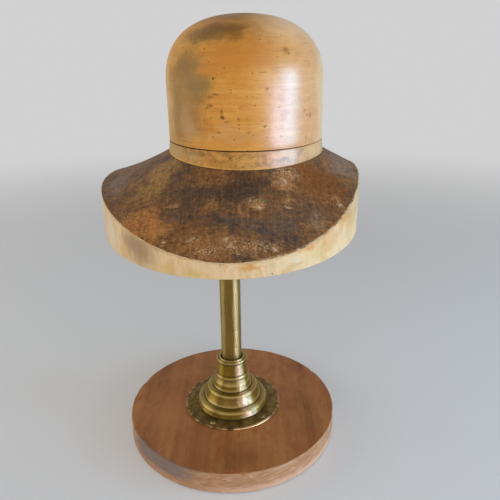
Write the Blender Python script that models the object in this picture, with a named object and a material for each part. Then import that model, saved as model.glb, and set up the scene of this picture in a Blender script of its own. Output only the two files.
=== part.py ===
"""A two-part wooden hat block on a brass stand with a round wooden base.

Metres, +Z up. The origin is under the middle of the base, on the stem's axis, and
-Y is the front of the hat. The crown lifts off the collar, and the whole block
turns on the stand and lifts off it.
"""

import math

import bmesh
import bpy

MM = 0.001

# Fits
SEAT_GAP = 0.3 * MM
SEAM_GAP = 0.5 * MM
RUNNING_GAP = 0.4 * MM
ROD_CLEARANCE = 0.5 * MM

# Wooden base and the felt under it
BASE_RADIUS = 127.0 * MM
BASE_THICKNESS = 25.0 * MM
BASE_EDGE = 0.7 * MM
FELT_THICKNESS = 1.2 * MM
FELT_INSET = 3.0 * MM
RECESS_SPARE = 1.3 * MM

# Threaded rod, its nuts and washers
ROD_RADIUS = 4.0 * MM
ROD_END = 2.0 * MM
NUT_ACROSS_FLATS = 13.0 * MM
NUT_HEIGHT = 6.5 * MM
NUT_FLATS = 6
WASHER_THICKNESS = 1.6 * MM
BASE_WASHER_RADIUS = 14.0 * MM
TOP_WASHER_MARGIN = 0.3 * MM

# Tube and the plugs in its ends
TUBE_RADIUS = 12.35 * MM
TUBE_WALL = 1.2 * MM
TUBE_LENGTH = 272.6 * MM
FOOT_PLUG_MARGIN = 7.15 * MM
PLUG_CAP_HEIGHT = 4.0 * MM
PLUG_SPIGOT = 18.0 * MM

# Ring round the foot of the tube, in the neck of the stepped cover
RING_WALL = 3.65 * MM
RING_HEIGHT = 10.0 * MM
RING_CREST_INSET = 1.3 * MM
RING_STANDS_PROUD = 1.3 * MM
RING_LEDGE = 2.0 * MM
NECK_WALL = 1.6 * MM
NECK_FLARE = 1.0 * MM
NECK_HEIGHT = 14.6 * MM
LIP_PROUD = 0.9 * MM
LIP_HEIGHT = 3.4 * MM
BEAD_PROUD = 2.8 * MM
BEAD_HEIGHT = 7.2 * MM
COVER_WALL = 1.2 * MM

# The cover's tiers, from the top one down: how far each one's shoulder stands out
# past what is above it, how much its wall spreads, its height and its shoulder radius
COVER_TIERS = (
    (4.5 * MM, 1.2 * MM, 13.8 * MM, 1.6 * MM),
    (7.5 * MM, 3.8 * MM, 14.8 * MM, 2.4 * MM),
    (7.6 * MM, 0.6 * MM, 9.7 * MM, 4.0 * MM),
)

# Flange plate, out past the cover's foot, and its screws
FLANGE_MARGIN = 16.3 * MM
FLANGE_THICKNESS = 1.8 * MM
FLANGE_SCREWS = 5
FIRST_SCREW_DEGREES = -115.6
SCREW_HEAD_RADIUS = 3.4 * MM
SCREW_HEAD_HEIGHT = 1.6 * MM
SCREW_SHANK_RADIUS = 1.9 * MM
SCREW_LENGTH = 15.0 * MM

# Socket in the block, over the top of the tube
SOCKET_DEPTH = 38.5 * MM
SLIP_WASHER_THICKNESS = 1.0 * MM
SLIP_WASHER_EDGE = 0.3 * MM
NUT_POCKET_MARGIN = 1.7 * MM
NUT_POCKET_SPARE = 5.9 * MM

# Brim block: an oval with upright sides and a saddle-shaped top
BRIM_HALF_WIDTH = 133.1 * MM
BRIM_HALF_LENGTH = 184.8 * MM
BRIM_OFFSET = 4.6 * MM
BRIM_TURN_DEGREES = 1.1
BRIM_EDGE = 0.5 * MM
RIM_FRONT_HEIGHT = 14.2 * MM
RIM_RISE_LEFT = 33.0 * MM
RIM_RISE_RIGHT = 42.0 * MM
RIM_POWER_LEFT = 1.8
RIM_POWER_RIGHT = 2.8
BRIM_HOLLOW_LEFT = 2.6 * MM
BRIM_HOLLOW_RIGHT = 0.2 * MM

# Collar between brim and crown
COLLAR_FLARE = 1.2 * MM
FOOT_FRONT_HEIGHT = 70.7 * MM
FOOT_SIDE_RISE = 3.9 * MM
SEAT_FLAT_SHARE = 0.75
SEAT_BLEND_SHARE = 0.88
SEAM_HEIGHT = 87.0 * MM
SEAM_CHAMFER = 0.5 * MM

# Crown block: upright oval sides and a superelliptic dome
CROWN_HALF_WIDTH = 79.1 * MM
CROWN_HALF_LENGTH = 109.8 * MM
CROWN_OFFSET = 20.9 * MM
CROWN_LEAN = 0.7 * MM
CROWN_WALL = 52.5 * MM
CROWN_DOME = 64.0 * MM
CROWN_POWER = 2.43

# Fastenings hidden in the block
DOWEL_RADIUS = 5.0 * MM
DOWEL_INSET = 34.8 * MM
DOWEL_IN_COLLAR = 11.0 * MM
DOWEL_IN_CROWN = 14.0 * MM
COLLAR_SCREW_RADIUS = 2.2 * MM
COLLAR_SCREW_HEAD = 4.4 * MM
COLLAR_SCREW_LENGTH = 34.0 * MM
COLLAR_SCREW_SIDE_INSET = 43.1 * MM
COLLAR_SCREW_END_INSET = 63.8 * MM
COLLAR_SCREW_SUNK = 0.5 * MM
SLOT_WIDTH = 0.9 * MM
SLOT_DEPTH = 0.8 * MM
SLOT_OVERRUN = 1.0 * MM

# Facets round the big ovals, the round brass and the small pieces, the rings that
# the brim and the dome are made of, and the angle past which an edge stays sharp
OVAL_SIDES = 72
ROUND_SIDES = 48
SMALL_SIDES = 16
BRIM_ROWS = 5
DOME_ROWS = 14
SHARP_DEGREES = 35.0

# Radii that follow from what goes through or round each piece
rod_hole_radius = ROD_RADIUS + ROD_CLEARANCE
nut_corner_radius = NUT_ACROSS_FLATS / math.sqrt(3)
top_washer_radius = nut_corner_radius + TOP_WASHER_MARGIN
nut_pocket_radius = nut_corner_radius + NUT_POCKET_MARGIN
spigot_radius = TUBE_RADIUS - TUBE_WALL - SEAT_GAP
ring_outer_radius = TUBE_RADIUS + SEAT_GAP + RING_WALL
ring_crest_radius = ring_outer_radius - RING_CREST_INSET
mouth_radius = ring_outer_radius + SEAT_GAP
neck_radius = mouth_radius + NECK_WALL
cover_foot_radius = neck_radius + sum(out + spread for out, spread, _, _ in COVER_TIERS)
flange_radius = cover_foot_radius + FLANGE_MARGIN
screw_circle = cover_foot_radius + FLANGE_MARGIN / 2

# Heights of the stack, from the felt up
recess_depth = 2 * SEAT_GAP + WASHER_THICKNESS + NUT_HEIGHT + ROD_END + RECESS_SPARE
tiers_height = sum(rise for _, _, rise, _ in COVER_TIERS)
base_bottom = FELT_THICKNESS + SEAT_GAP
base_top = base_bottom + BASE_THICKNESS
recess_top = base_bottom + recess_depth
flange_bottom = base_top + SEAT_GAP
flange_top = flange_bottom + FLANGE_THICKNESS
cover_bottom = flange_top + SEAT_GAP
neck_bottom = cover_bottom + tiers_height + BEAD_HEIGHT
cover_top = neck_bottom + NECK_HEIGHT + LIP_HEIGHT
ring_top = cover_top + RING_STANDS_PROUD
ring_bottom = ring_top - RING_HEIGHT
foot_plug_bottom = flange_top + SEAT_GAP
tube_bottom = foot_plug_bottom + PLUG_CAP_HEIGHT + SEAT_GAP
tube_top = tube_bottom + TUBE_LENGTH
top_cap_bottom = tube_top + SEAT_GAP
top_cap_top = top_cap_bottom + PLUG_CAP_HEIGHT
top_washer_bottom = top_cap_top + SEAT_GAP
top_nut_bottom = top_washer_bottom + WASHER_THICKNESS + SEAT_GAP
rod_top = top_nut_bottom + NUT_HEIGHT + ROD_END
slip_washer_bottom = top_cap_top + SEAT_GAP
socket_top = slip_washer_bottom + SLIP_WASHER_THICKNESS + SEAT_GAP
nut_pocket_top = rod_top + NUT_POCKET_SPARE
brim_bottom = socket_top - SOCKET_DEPTH
seam_height = brim_bottom + SEAM_HEIGHT
collar_top = seam_height - SEAM_GAP / 2
crown_bottom = seam_height + SEAM_GAP / 2


def clear_scene():
    for item in list(bpy.data.objects):
        bpy.data.objects.remove(item, do_unlink=True)


def finish(name, colour, roughness, metallic):
    material = bpy.data.materials.new(name)
    material.use_nodes = True
    shader = material.node_tree.nodes["Principled BSDF"]
    shader.inputs["Base Color"].default_value = (*colour, 1.0)
    shader.inputs["Roughness"].default_value = roughness
    shader.inputs["Metallic"].default_value = metallic
    material.diffuse_color = (*colour, 1.0)
    return material


def group(name, parent=None, x=0.0, z=0.0):
    """An empty that carries the pieces that move together."""
    empty = bpy.data.objects.new(name, None)
    bpy.context.collection.objects.link(empty)
    empty.parent = parent
    empty.location = (x, 0.0, z)
    return empty


def piece(name, bm, parent, at=(0.0, 0.0, 0.0), look=None):
    """One solid in its own object, placed in its group, with its own finish."""
    bmesh.ops.remove_doubles(bm, verts=bm.verts, dist=0.001 * MM)
    bmesh.ops.recalc_face_normals(bm, faces=bm.faces)
    mesh = bpy.data.meshes.new(name)
    bm.to_mesh(mesh)
    bm.free()
    mesh.shade_smooth()
    mesh.set_sharp_from_angle(angle=math.radians(SHARP_DEGREES))
    solid = bpy.data.objects.new(name, mesh)
    bpy.context.collection.objects.link(solid)
    solid.parent = parent
    solid.location = at
    if look:
        mesh.materials.append(finish(name, *look))
    return solid


def cut(solid, cutter):
    """Cut the holes of a hidden cutter out of a solid."""
    cutter.hide_render = True
    cutter.display_type = "WIRE"
    holes = solid.modifiers.new("holes", "BOOLEAN")
    holes.operation = "DIFFERENCE"
    holes.solver = "EXACT"
    holes.object = cutter


def spin(bm, outline, sides, x=0.0, y=0.0):
    """Turn an outline of (radius, height) points about an upright axis at x, y."""
    points = [bm.verts.new((x + radius, y, height)) for radius, height in outline]
    edges = [bm.edges.new(pair) for pair in zip(points, points[1:])]
    if outline[0][0] > 0.0:
        edges.append(bm.edges.new((points[-1], points[0])))
    bmesh.ops.spin(
        bm,
        geom=points + edges,
        cent=(x, y, 0.0),
        axis=(0.0, 0.0, 1.0),
        angle=math.tau,
        steps=sides,
        use_merge=True,
    )


def arc(radius, height, size, start, end, steps):
    """Points on an arc about (radius, height), from one angle to another in degrees."""
    for step in range(steps + 1):
        angle = math.radians(start + (end - start) * step / steps)
        yield radius + size * math.cos(angle), height + size * math.sin(angle)


def cylinder_outline(radius, bottom, top):
    return [(0.0, bottom), (radius, bottom), (radius, top), (0.0, top)]


def washer_outline(inner, outer, bottom, top):
    return [(inner, bottom), (outer, bottom), (outer, top), (inner, top)]


def oval(bm, centre, half_width, half_length, height, turn=0.0):
    """A ring of points; phi is 0 at the front and grows towards the right."""
    ring = []
    for side in range(OVAL_SIDES):
        phi = math.tau * side / OVAL_SIDES
        across = half_width * math.sin(phi)
        along = -half_length * math.cos(phi)
        x = centre + across * math.cos(turn) - along * math.sin(turn)
        y = across * math.sin(turn) + along * math.cos(turn)
        ring.append(bm.verts.new((x, y, height(phi))))
    return ring


def skin(bm, rings, first, last):
    """Close a skin through the rings and onto a point at each of its two ends."""
    start, end = bm.verts.new(first), bm.verts.new(last)
    for side in range(OVAL_SIDES):
        after = (side + 1) % OVAL_SIDES
        bm.faces.new((start, rings[0][side], rings[0][after]))
        bm.faces.new((end, rings[-1][side], rings[-1][after]))
        for low, high in zip(rings, rings[1:]):
            bm.faces.new((low[side], low[after], high[after], high[side]))


def add_felt(stand):
    bm = bmesh.new()
    spin(bm, cylinder_outline(BASE_RADIUS - FELT_INSET, 0.0, FELT_THICKNESS), ROUND_SIDES)
    piece("felt_pad", bm, stand, look=((0.035, 0.075, 0.05), 0.95, 0.0))


def add_base(stand):
    """The round board, bored for the rod and recessed below for its nut."""
    edge = BASE_EDGE
    outline = [(0.0, 0.0)]
    outline += arc(BASE_RADIUS - edge, edge, edge, -90, 0, 2)
    outline += arc(BASE_RADIUS - edge, BASE_THICKNESS - edge, edge, 0, 90, 2)
    outline += [(0.0, BASE_THICKNESS)]
    bm = bmesh.new()
    spin(bm, outline, OVAL_SIDES)
    base = piece("base_disc", bm, stand, (0.0, 0.0, base_bottom), ((0.2, 0.085, 0.045), 0.45, 0.0))

    holes = bmesh.new()
    over = BASE_EDGE
    recess_radius = BASE_WASHER_RADIUS + ROD_CLEARANCE
    above = BASE_THICKNESS + over
    outline = [(0.0, -over), (recess_radius, -over), (recess_radius, recess_depth)]
    outline += [(rod_hole_radius, recess_depth), (rod_hole_radius, above), (0.0, above)]
    spin(holes, outline, SMALL_SIDES)
    screw_tip = BASE_THICKNESS - (SCREW_LENGTH - FLANGE_THICKNESS)
    for x, y in flange_screw_places():
        hole = cylinder_outline(SCREW_SHANK_RADIUS + SEAT_GAP, screw_tip, above)
        spin(holes, hole, SMALL_SIDES, x, y)
    cut(base, piece("base_holes", holes, stand, (0.0, 0.0, base_bottom)))


def flange_screw_places():
    for index in range(FLANGE_SCREWS):
        angle = math.radians(FIRST_SCREW_DEGREES + 360.0 * index / FLANGE_SCREWS)
        yield screw_circle * math.cos(angle), screw_circle * math.sin(angle)


def add_flange(stand):
    """The flat plate under the cover, its upper edge rounded."""
    edge = FLANGE_THICKNESS / 2
    outline = [(rod_hole_radius, 0.0)]
    outline += arc(flange_radius - edge, edge, edge, -90, 90, 3)
    outline += [(rod_hole_radius, FLANGE_THICKNESS)]
    bm = bmesh.new()
    spin(bm, outline, ROUND_SIDES)
    look = ((0.3, 0.2, 0.07), 0.4, 1.0)
    plate = piece("foot_flange", bm, stand, (0.0, 0.0, flange_bottom), look)

    holes = bmesh.new()
    for x, y in flange_screw_places():
        radius = SCREW_SHANK_RADIUS + SEAT_GAP
        spin(holes, cylinder_outline(radius, -edge, FLANGE_THICKNESS + edge), SMALL_SIDES, x, y)
    cut(plate, piece("flange_holes", holes, stand, (0.0, 0.0, flange_bottom)))


def add_flange_screws(stand):
    """Round-headed slotted wood screws through the plate into the base."""
    shank_length = SCREW_LENGTH + SEAT_GAP
    dome_radius = (SCREW_HEAD_RADIUS**2 + SCREW_HEAD_HEIGHT**2) / (2 * SCREW_HEAD_HEIGHT)
    dome_angle = math.degrees(math.asin(SCREW_HEAD_RADIUS / dome_radius))
    outline = [(0.0, -shank_length), (SCREW_SHANK_RADIUS, SCREW_SHANK_RADIUS - shank_length)]
    outline += [(SCREW_SHANK_RADIUS, 0.0)]
    outline += arc(0.0, SCREW_HEAD_HEIGHT - dome_radius, dome_radius, 90 - dome_angle, 90, 3)
    outline[-1] = (0.0, SCREW_HEAD_HEIGHT)
    for index, (x, y) in enumerate(flange_screw_places()):
        place = (x, y, flange_top + SEAT_GAP)
        bm = bmesh.new()
        spin(bm, outline, SMALL_SIDES)
        name = f"flange_screw_{index + 1}"
        screw = piece(name, bm, stand, place, ((0.45, 0.33, 0.14), 0.35, 1.0))
        cut(screw, add_slot(f"{name}_slot", stand, place, SCREW_HEAD_RADIUS, SCREW_HEAD_HEIGHT))


def add_slot(name, parent, place, head_radius, head_top):
    """A box across a screw's head, which cuts its slot."""
    bm = bmesh.new()
    bmesh.ops.create_cube(bm, size=1.0)
    size = (2 * (head_radius + SLOT_OVERRUN), SLOT_WIDTH, 2 * SLOT_DEPTH)
    bmesh.ops.scale(bm, vec=size, verts=bm.verts)
    bmesh.ops.translate(bm, vec=(0.0, 0.0, head_top), verts=bm.verts)
    return piece(name, bm, parent, place)


def cover_tiers():
    """Each tier's foot radius, top radius, height and shoulder, from the lowest one up."""
    tiers = []
    foot = neck_radius
    for out, spread, rise, shoulder in COVER_TIERS:
        top = foot + out
        foot = top + spread
        tiers.insert(0, (foot, top, rise, shoulder))
    return tiers


def cover_outer_outline():
    """The cover's outer side, from the foot of the lowest tier up to the lip."""
    outline = []
    height = 0.0
    for foot, top, rise, shoulder in cover_tiers():
        outline.append((foot, height))
        outline += arc(top - shoulder, height + rise - shoulder, shoulder, 10, 80, 2)
        height += rise
    half_bead = BEAD_HEIGHT / 2
    outline += arc(neck_radius + BEAD_PROUD - half_bead, height + half_bead, half_bead, -60, 60, 3)
    height += BEAD_HEIGHT
    outline += [(neck_radius + NECK_FLARE, height), (neck_radius, height + NECK_HEIGHT / 2)]
    height += NECK_HEIGHT
    outline.append((neck_radius, height))
    half_lip = LIP_HEIGHT / 2
    outline += arc(neck_radius + LIP_PROUD - half_lip, height + half_lip, half_lip, -50, 90, 3)
    return outline


def cover_inner_outline():
    """The cover's bore, from the mouth down past the ring's ledge and the tiers."""
    ledge_radius = mouth_radius - RING_LEDGE
    ledge_height = ring_bottom - SEAT_GAP - cover_bottom
    outline = [(mouth_radius, cover_top - cover_bottom), (mouth_radius, ledge_height)]
    outline += [(ledge_radius, ledge_height), (ledge_radius, neck_bottom - cover_bottom)]
    height = tiers_height - COVER_WALL
    for _, top, rise, _ in reversed(cover_tiers()):
        outline.append((top - COVER_WALL, height))
        height -= rise
        outline.append((top - COVER_WALL, max(height, 0.0)))
    return outline


def add_cover(stand):
    """The turned, hollow cover, three tiers high."""
    bm = bmesh.new()
    spin(bm, cover_outer_outline() + cover_inner_outline(), ROUND_SIDES)
    piece("stepped_cover", bm, stand, (0.0, 0.0, cover_bottom), ((0.42, 0.3, 0.11), 0.3, 1.0))


def add_neck_ring(stand):
    """The ring that centres the tube in the cover's mouth, with a rounded crest."""
    bore = TUBE_RADIUS + SEAT_GAP
    rise = RING_STANDS_PROUD
    crest = ring_crest_radius
    outline = [(bore, 0.0), (ring_outer_radius, 0.0), (ring_outer_radius, RING_HEIGHT - rise)]
    outline += [(crest + rise / 2, RING_HEIGHT - rise / 4), (crest, RING_HEIGHT)]
    outline += [(crest - rise / 2, RING_HEIGHT - rise / 2), (bore, RING_HEIGHT - 2 * rise)]
    bm = bmesh.new()
    spin(bm, outline, ROUND_SIDES)
    piece("neck_ring", bm, stand, (0.0, 0.0, ring_bottom), ((0.5, 0.37, 0.15), 0.3, 1.0))


def add_tube(stand):
    bm = bmesh.new()
    spin(bm, washer_outline(TUBE_RADIUS - TUBE_WALL, TUBE_RADIUS, 0.0, TUBE_LENGTH), ROUND_SIDES)
    piece("stem_tube", bm, stand, (0.0, 0.0, tube_bottom), ((0.4, 0.31, 0.13), 0.32, 1.0))


def add_plugs(stand):
    """A plug for each end of the tube: a cap, a spigot and a bore for the rod."""
    look = ((0.42, 0.3, 0.12), 0.4, 1.0)
    cap = PLUG_CAP_HEIGHT
    end = cap + PLUG_SPIGOT
    cap_radius = TUBE_RADIUS + FOOT_PLUG_MARGIN
    outline = [(rod_hole_radius, 0.0), (cap_radius, 0.0), (cap_radius, cap)]
    outline += [(spigot_radius, cap), (spigot_radius, end), (rod_hole_radius, end)]
    bm = bmesh.new()
    spin(bm, outline, ROUND_SIDES)
    piece("foot_plug", bm, stand, (0.0, 0.0, foot_plug_bottom), look)

    outline = [(rod_hole_radius, -PLUG_SPIGOT), (spigot_radius, -PLUG_SPIGOT), (spigot_radius, 0.0)]
    outline += [(TUBE_RADIUS, 0.0), (TUBE_RADIUS, cap), (rod_hole_radius, cap)]
    bm = bmesh.new()
    spin(bm, outline, ROUND_SIDES)
    piece("top_plug", bm, stand, (0.0, 0.0, top_cap_bottom), look)


def add_rod(stand):
    """The threaded rod, with a nut and a washer at each end."""
    steel = ((0.32, 0.32, 0.33), 0.4, 1.0)
    base_washer_bottom = recess_top - SEAT_GAP - WASHER_THICKNESS
    base_nut_bottom = base_washer_bottom - SEAT_GAP - NUT_HEIGHT
    rod_bottom = base_nut_bottom - ROD_END
    bm = bmesh.new()
    spin(bm, cylinder_outline(ROD_RADIUS, 0.0, rod_top - rod_bottom), SMALL_SIDES)
    piece("tie_rod", bm, stand, (0.0, 0.0, rod_bottom), steel)

    washers = (
        ("base_washer", BASE_WASHER_RADIUS, base_washer_bottom),
        ("top_washer", top_washer_radius, top_washer_bottom),
    )
    for name, radius, bottom in washers:
        bm = bmesh.new()
        spin(bm, washer_outline(rod_hole_radius, radius, 0.0, WASHER_THICKNESS), SMALL_SIDES)
        piece(name, bm, stand, (0.0, 0.0, bottom), steel)

    for name, bottom in (("base_nut", base_nut_bottom), ("top_nut", top_nut_bottom)):
        bm = bmesh.new()
        spin(bm, cylinder_outline(nut_corner_radius, 0.0, NUT_HEIGHT), NUT_FLATS)
        nut = piece(name, bm, stand, (0.0, 0.0, bottom), steel)
        bore = bmesh.new()
        over = ROD_END
        spin(bore, cylinder_outline(ROD_RADIUS + SEAT_GAP, -over, NUT_HEIGHT + over), SMALL_SIDES)
        cut(nut, piece(f"{name}_bore", bore, stand, (0.0, 0.0, bottom)))


def add_slip_washer(turntable):
    """The loose washer under the socket's shoulder, round the top nut's washer."""
    inner = top_washer_radius + 2 * SEAT_GAP
    outer = TUBE_RADIUS - SLIP_WASHER_EDGE
    bm = bmesh.new()
    spin(bm, washer_outline(inner, outer, 0.0, SLIP_WASHER_THICKNESS), ROUND_SIDES)
    place = (0.0, 0.0, slip_washer_bottom)
    piece("slip_washer", bm, turntable, place, ((0.12, 0.05, 0.03), 0.7, 0.0))


def rim_height(phi):
    """Height of the brim's edge above its underside, higher at the sides."""
    across = math.sin(phi)
    left = across < 0.0
    rise = RIM_RISE_LEFT if left else RIM_RISE_RIGHT
    power = RIM_POWER_LEFT if left else RIM_POWER_RIGHT
    return brim_bottom + RIM_FRONT_HEIGHT + rise * abs(across) ** power


def foot_height(phi):
    """Height of the line where the collar stands on the brim."""
    return brim_bottom + FOOT_FRONT_HEIGHT + FOOT_SIDE_RISE * math.sin(phi) ** 2


def seat_height(share, phi):
    """The seat under the collar: flat in the middle, meeting the foot line outside."""
    flat = brim_bottom + FOOT_FRONT_HEIGHT
    blend = max(0.0, (share - SEAT_FLAT_SHARE) / (1.0 - SEAT_FLAT_SHARE))
    return flat + (foot_height(phi) - flat) * blend * blend * (3.0 - 2.0 * blend)


def collar_oval(bm, share, lift):
    """One ring of the seat, at a share of the collar's foot, lifted off the brim."""
    width = (CROWN_HALF_WIDTH + COLLAR_FLARE) * share
    length = (CROWN_HALF_LENGTH + COLLAR_FLARE) * share
    return oval(bm, CROWN_OFFSET, width, length, lambda phi: seat_height(share, phi) + lift)


def brim_ring(bm, out, inset=0.0):
    """One ring of the brim's top: out runs from 0 at the collar to 1 at the rim."""
    foot_width = CROWN_HALF_WIDTH + COLLAR_FLARE
    foot_length = CROWN_HALF_LENGTH + COLLAR_FLARE
    centre = CROWN_OFFSET + (BRIM_OFFSET - CROWN_OFFSET) * out
    width = foot_width + (BRIM_HALF_WIDTH - inset - foot_width) * out
    length = foot_length + (BRIM_HALF_LENGTH - inset - foot_length) * out

    def height(phi):
        lean = (1.0 + math.sin(phi)) / 2
        hollow = BRIM_HOLLOW_LEFT + (BRIM_HOLLOW_RIGHT - BRIM_HOLLOW_LEFT) * lean
        straight = foot_height(phi) + (rim_height(phi) - foot_height(phi)) * out
        return straight - hollow * math.sin(math.pi * out)

    return oval(bm, centre, width, length, height, math.radians(BRIM_TURN_DEGREES) * out)


def side_ring(bm, inset, height):
    """One ring of the brim's upright side."""
    width, length = BRIM_HALF_WIDTH - inset, BRIM_HALF_LENGTH - inset
    return oval(bm, BRIM_OFFSET, width, length, height, math.radians(BRIM_TURN_DEGREES))


def collar_screw_places():
    for side in (-1, 1):
        for end in (-1, 1):
            x = CROWN_OFFSET + side * (CROWN_HALF_WIDTH - COLLAR_SCREW_SIDE_INSET)
            yield x, end * (CROWN_HALF_LENGTH - COLLAR_SCREW_END_INSET)


def dowel_places():
    for end in (-1, 1):
        yield CROWN_OFFSET, end * (CROWN_HALF_LENGTH - DOWEL_INSET)


def add_brim(block):
    """The saddle-topped oval block, bored below for the tube and the nut."""
    bm = bmesh.new()
    bottom = brim_bottom
    small = BRIM_EDGE
    rings = [
        side_ring(bm, small, lambda phi: bottom),
        side_ring(bm, 0.0, lambda phi: bottom + small),
        side_ring(bm, 0.0, lambda phi: rim_height(phi) - small),
    ]
    for row in range(BRIM_ROWS, -1, -1):
        rings.append(brim_ring(bm, row / BRIM_ROWS, small * row / BRIM_ROWS))
    rings += [collar_oval(bm, share, 0.0) for share in (SEAT_BLEND_SHARE, SEAT_FLAT_SHARE)]
    seat_centre = (CROWN_OFFSET, 0.0, bottom + FOOT_FRONT_HEIGHT)
    skin(bm, rings, (BRIM_OFFSET, 0.0, bottom), seat_centre)
    brim = piece("brim_block", bm, block, look=((0.19, 0.09, 0.045), 0.5, 0.0))

    holes = bmesh.new()
    bore = TUBE_RADIUS + RUNNING_GAP
    outline = [(0.0, bottom - small), (bore, bottom - small), (bore, socket_top)]
    outline += [(nut_pocket_radius, socket_top), (nut_pocket_radius, nut_pocket_top)]
    outline += [(0.0, nut_pocket_top)]
    spin(holes, outline, ROUND_SIDES)
    seat = bottom + FOOT_FRONT_HEIGHT
    screw_tip = collar_top - COLLAR_SCREW_SUNK - COLLAR_SCREW_LENGTH
    for x, y in collar_screw_places():
        hole = cylinder_outline(COLLAR_SCREW_RADIUS + SEAT_GAP, screw_tip - SEAT_GAP, seat + small)
        spin(holes, hole, SMALL_SIDES, x, y)
    cut(brim, piece("brim_holes", holes, block))


def add_collar(block):
    """The oval riser, bored for its screws and for the crown's dowels."""
    bm = bmesh.new()
    width, length = CROWN_HALF_WIDTH, CROWN_HALF_LENGTH
    small = SEAM_CHAMFER
    rings = [collar_oval(bm, share, SEAT_GAP) for share in (SEAT_FLAT_SHARE, SEAT_BLEND_SHARE, 1.0)]
    rings += [
        oval(bm, CROWN_OFFSET, width, length, lambda phi: collar_top - small),
        oval(bm, CROWN_OFFSET, width - small, length - small, lambda phi: collar_top),
    ]
    seat = brim_bottom + FOOT_FRONT_HEIGHT + SEAT_GAP
    skin(bm, rings, (CROWN_OFFSET, 0.0, seat), (CROWN_OFFSET, 0.0, collar_top))
    collar = piece("collar_block", bm, block, look=((0.5, 0.27, 0.09), 0.42, 0.0))

    holes = bmesh.new()
    for x, y in collar_screw_places():
        spin(holes, screw_hole_outline(seat), SMALL_SIDES, x, y)
    for x, y in dowel_places():
        floor = collar_top - DOWEL_IN_COLLAR - SEAT_GAP
        hole = cylinder_outline(DOWEL_RADIUS + SEAT_GAP, floor, collar_top + small)
        spin(holes, hole, SMALL_SIDES, x, y)
    cut(collar, piece("collar_holes", holes, block))


def screw_hole_outline(bottom):
    """A countersunk hole through the collar, open past its two faces."""
    top = collar_top - COLLAR_SCREW_SUNK
    cone = COLLAR_SCREW_HEAD - COLLAR_SCREW_RADIUS
    shank = COLLAR_SCREW_RADIUS + SEAT_GAP
    head = COLLAR_SCREW_HEAD + SEAT_GAP
    return [
        (0.0, bottom - SEAT_GAP),
        (shank, bottom - SEAT_GAP),
        (shank, top - cone - SEAT_GAP),
        (head, top - SEAT_GAP),
        (head, collar_top + COLLAR_SCREW_SUNK),
        (0.0, collar_top + COLLAR_SCREW_SUNK),
    ]


def add_collar_screws(block):
    """Countersunk slotted wood screws, down through the collar into the brim."""
    top = collar_top - COLLAR_SCREW_SUNK
    cone = COLLAR_SCREW_HEAD - COLLAR_SCREW_RADIUS
    outline = [(0.0, -COLLAR_SCREW_LENGTH), (COLLAR_SCREW_RADIUS, 2 * cone - COLLAR_SCREW_LENGTH)]
    outline += [(COLLAR_SCREW_RADIUS, -cone), (COLLAR_SCREW_HEAD, 0.0), (0.0, 0.0)]
    for index, (x, y) in enumerate(collar_screw_places()):
        bm = bmesh.new()
        spin(bm, outline, SMALL_SIDES)
        name = f"collar_screw_{index + 1}"
        screw = piece(name, bm, block, (x, y, top), ((0.3, 0.3, 0.3), 0.45, 1.0))
        cut(screw, add_slot(f"{name}_slot", block, (x, y, top), COLLAR_SCREW_HEAD, 0.0))


def add_dowels(block):
    """Wooden pins glued in the collar, with rounded ends for the crown."""
    length = DOWEL_IN_COLLAR + SEAM_GAP + DOWEL_IN_CROWN
    edge = DOWEL_RADIUS / 4
    outline = [(0.0, 0.0), (DOWEL_RADIUS, 0.0)]
    outline += arc(DOWEL_RADIUS - edge, length - edge, edge, 0, 90, 2)
    outline += [(0.0, length)]
    for index, (x, y) in enumerate(dowel_places()):
        bm = bmesh.new()
        spin(bm, outline, SMALL_SIDES)
        place = (x, y, collar_top - DOWEL_IN_COLLAR)
        piece(f"crown_dowel_{index + 1}", bm, block, place, ((0.5, 0.33, 0.17), 0.6, 0.0))


def add_crown(crown):
    """The domed block, bored below for the two dowels."""
    bm = bmesh.new()
    width, length = CROWN_HALF_WIDTH, CROWN_HALF_LENGTH
    small = SEAM_CHAMFER
    levels = [(1.0, small), (1.0, CROWN_WALL / 2)]
    for row in range(DOME_ROWS):
        angle = math.pi / 2 * row / DOME_ROWS
        share = math.cos(angle) ** (2 / CROWN_POWER)
        levels.append((share, CROWN_WALL + CROWN_DOME * math.sin(angle) ** (2 / CROWN_POWER)))
    top = CROWN_WALL + CROWN_DOME
    rings = [oval(bm, 0.0, width - small, length - small, lambda phi: 0.0)]
    for share, height in levels:
        centre = -CROWN_LEAN * height / top
        rings.append(oval(bm, centre, width * share, length * share, lambda phi: height))
    skin(bm, rings, (0.0, 0.0, 0.0), (-CROWN_LEAN, 0.0, top))
    block = piece("crown_block", bm, crown, look=((0.55, 0.31, 0.11), 0.38, 0.0))

    holes = bmesh.new()
    for _, y in dowel_places():
        hole = cylinder_outline(DOWEL_RADIUS + RUNNING_GAP, -small, DOWEL_IN_CROWN + RUNNING_GAP)
        spin(holes, hole, SMALL_SIDES, 0.0, y)
    cut(block, piece("crown_holes", holes, crown))


def build():
    clear_scene()
    stand = group("stand")
    turntable = group("turntable", stand)
    block = group("block", turntable)
    crown = group("crown", block, CROWN_OFFSET, crown_bottom)

    add_felt(stand)
    add_base(stand)
    add_flange(stand)
    add_flange_screws(stand)
    add_cover(stand)
    add_neck_ring(stand)
    add_tube(stand)
    add_plugs(stand)
    add_rod(stand)
    add_slip_washer(turntable)
    add_brim(block)
    add_collar(block)
    add_collar_screws(block)
    add_dowels(block)
    add_crown(crown)


build()
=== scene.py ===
"""The looks of a two-part wooden hat block on a brass stand with a round wooden base.

Metres, +Z up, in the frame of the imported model. The front of the hat is -Y, and the
origin is under the middle of the base, on the stem's axis.
"""

import math

import bpy
from mathutils import Matrix, Vector, noise


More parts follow.
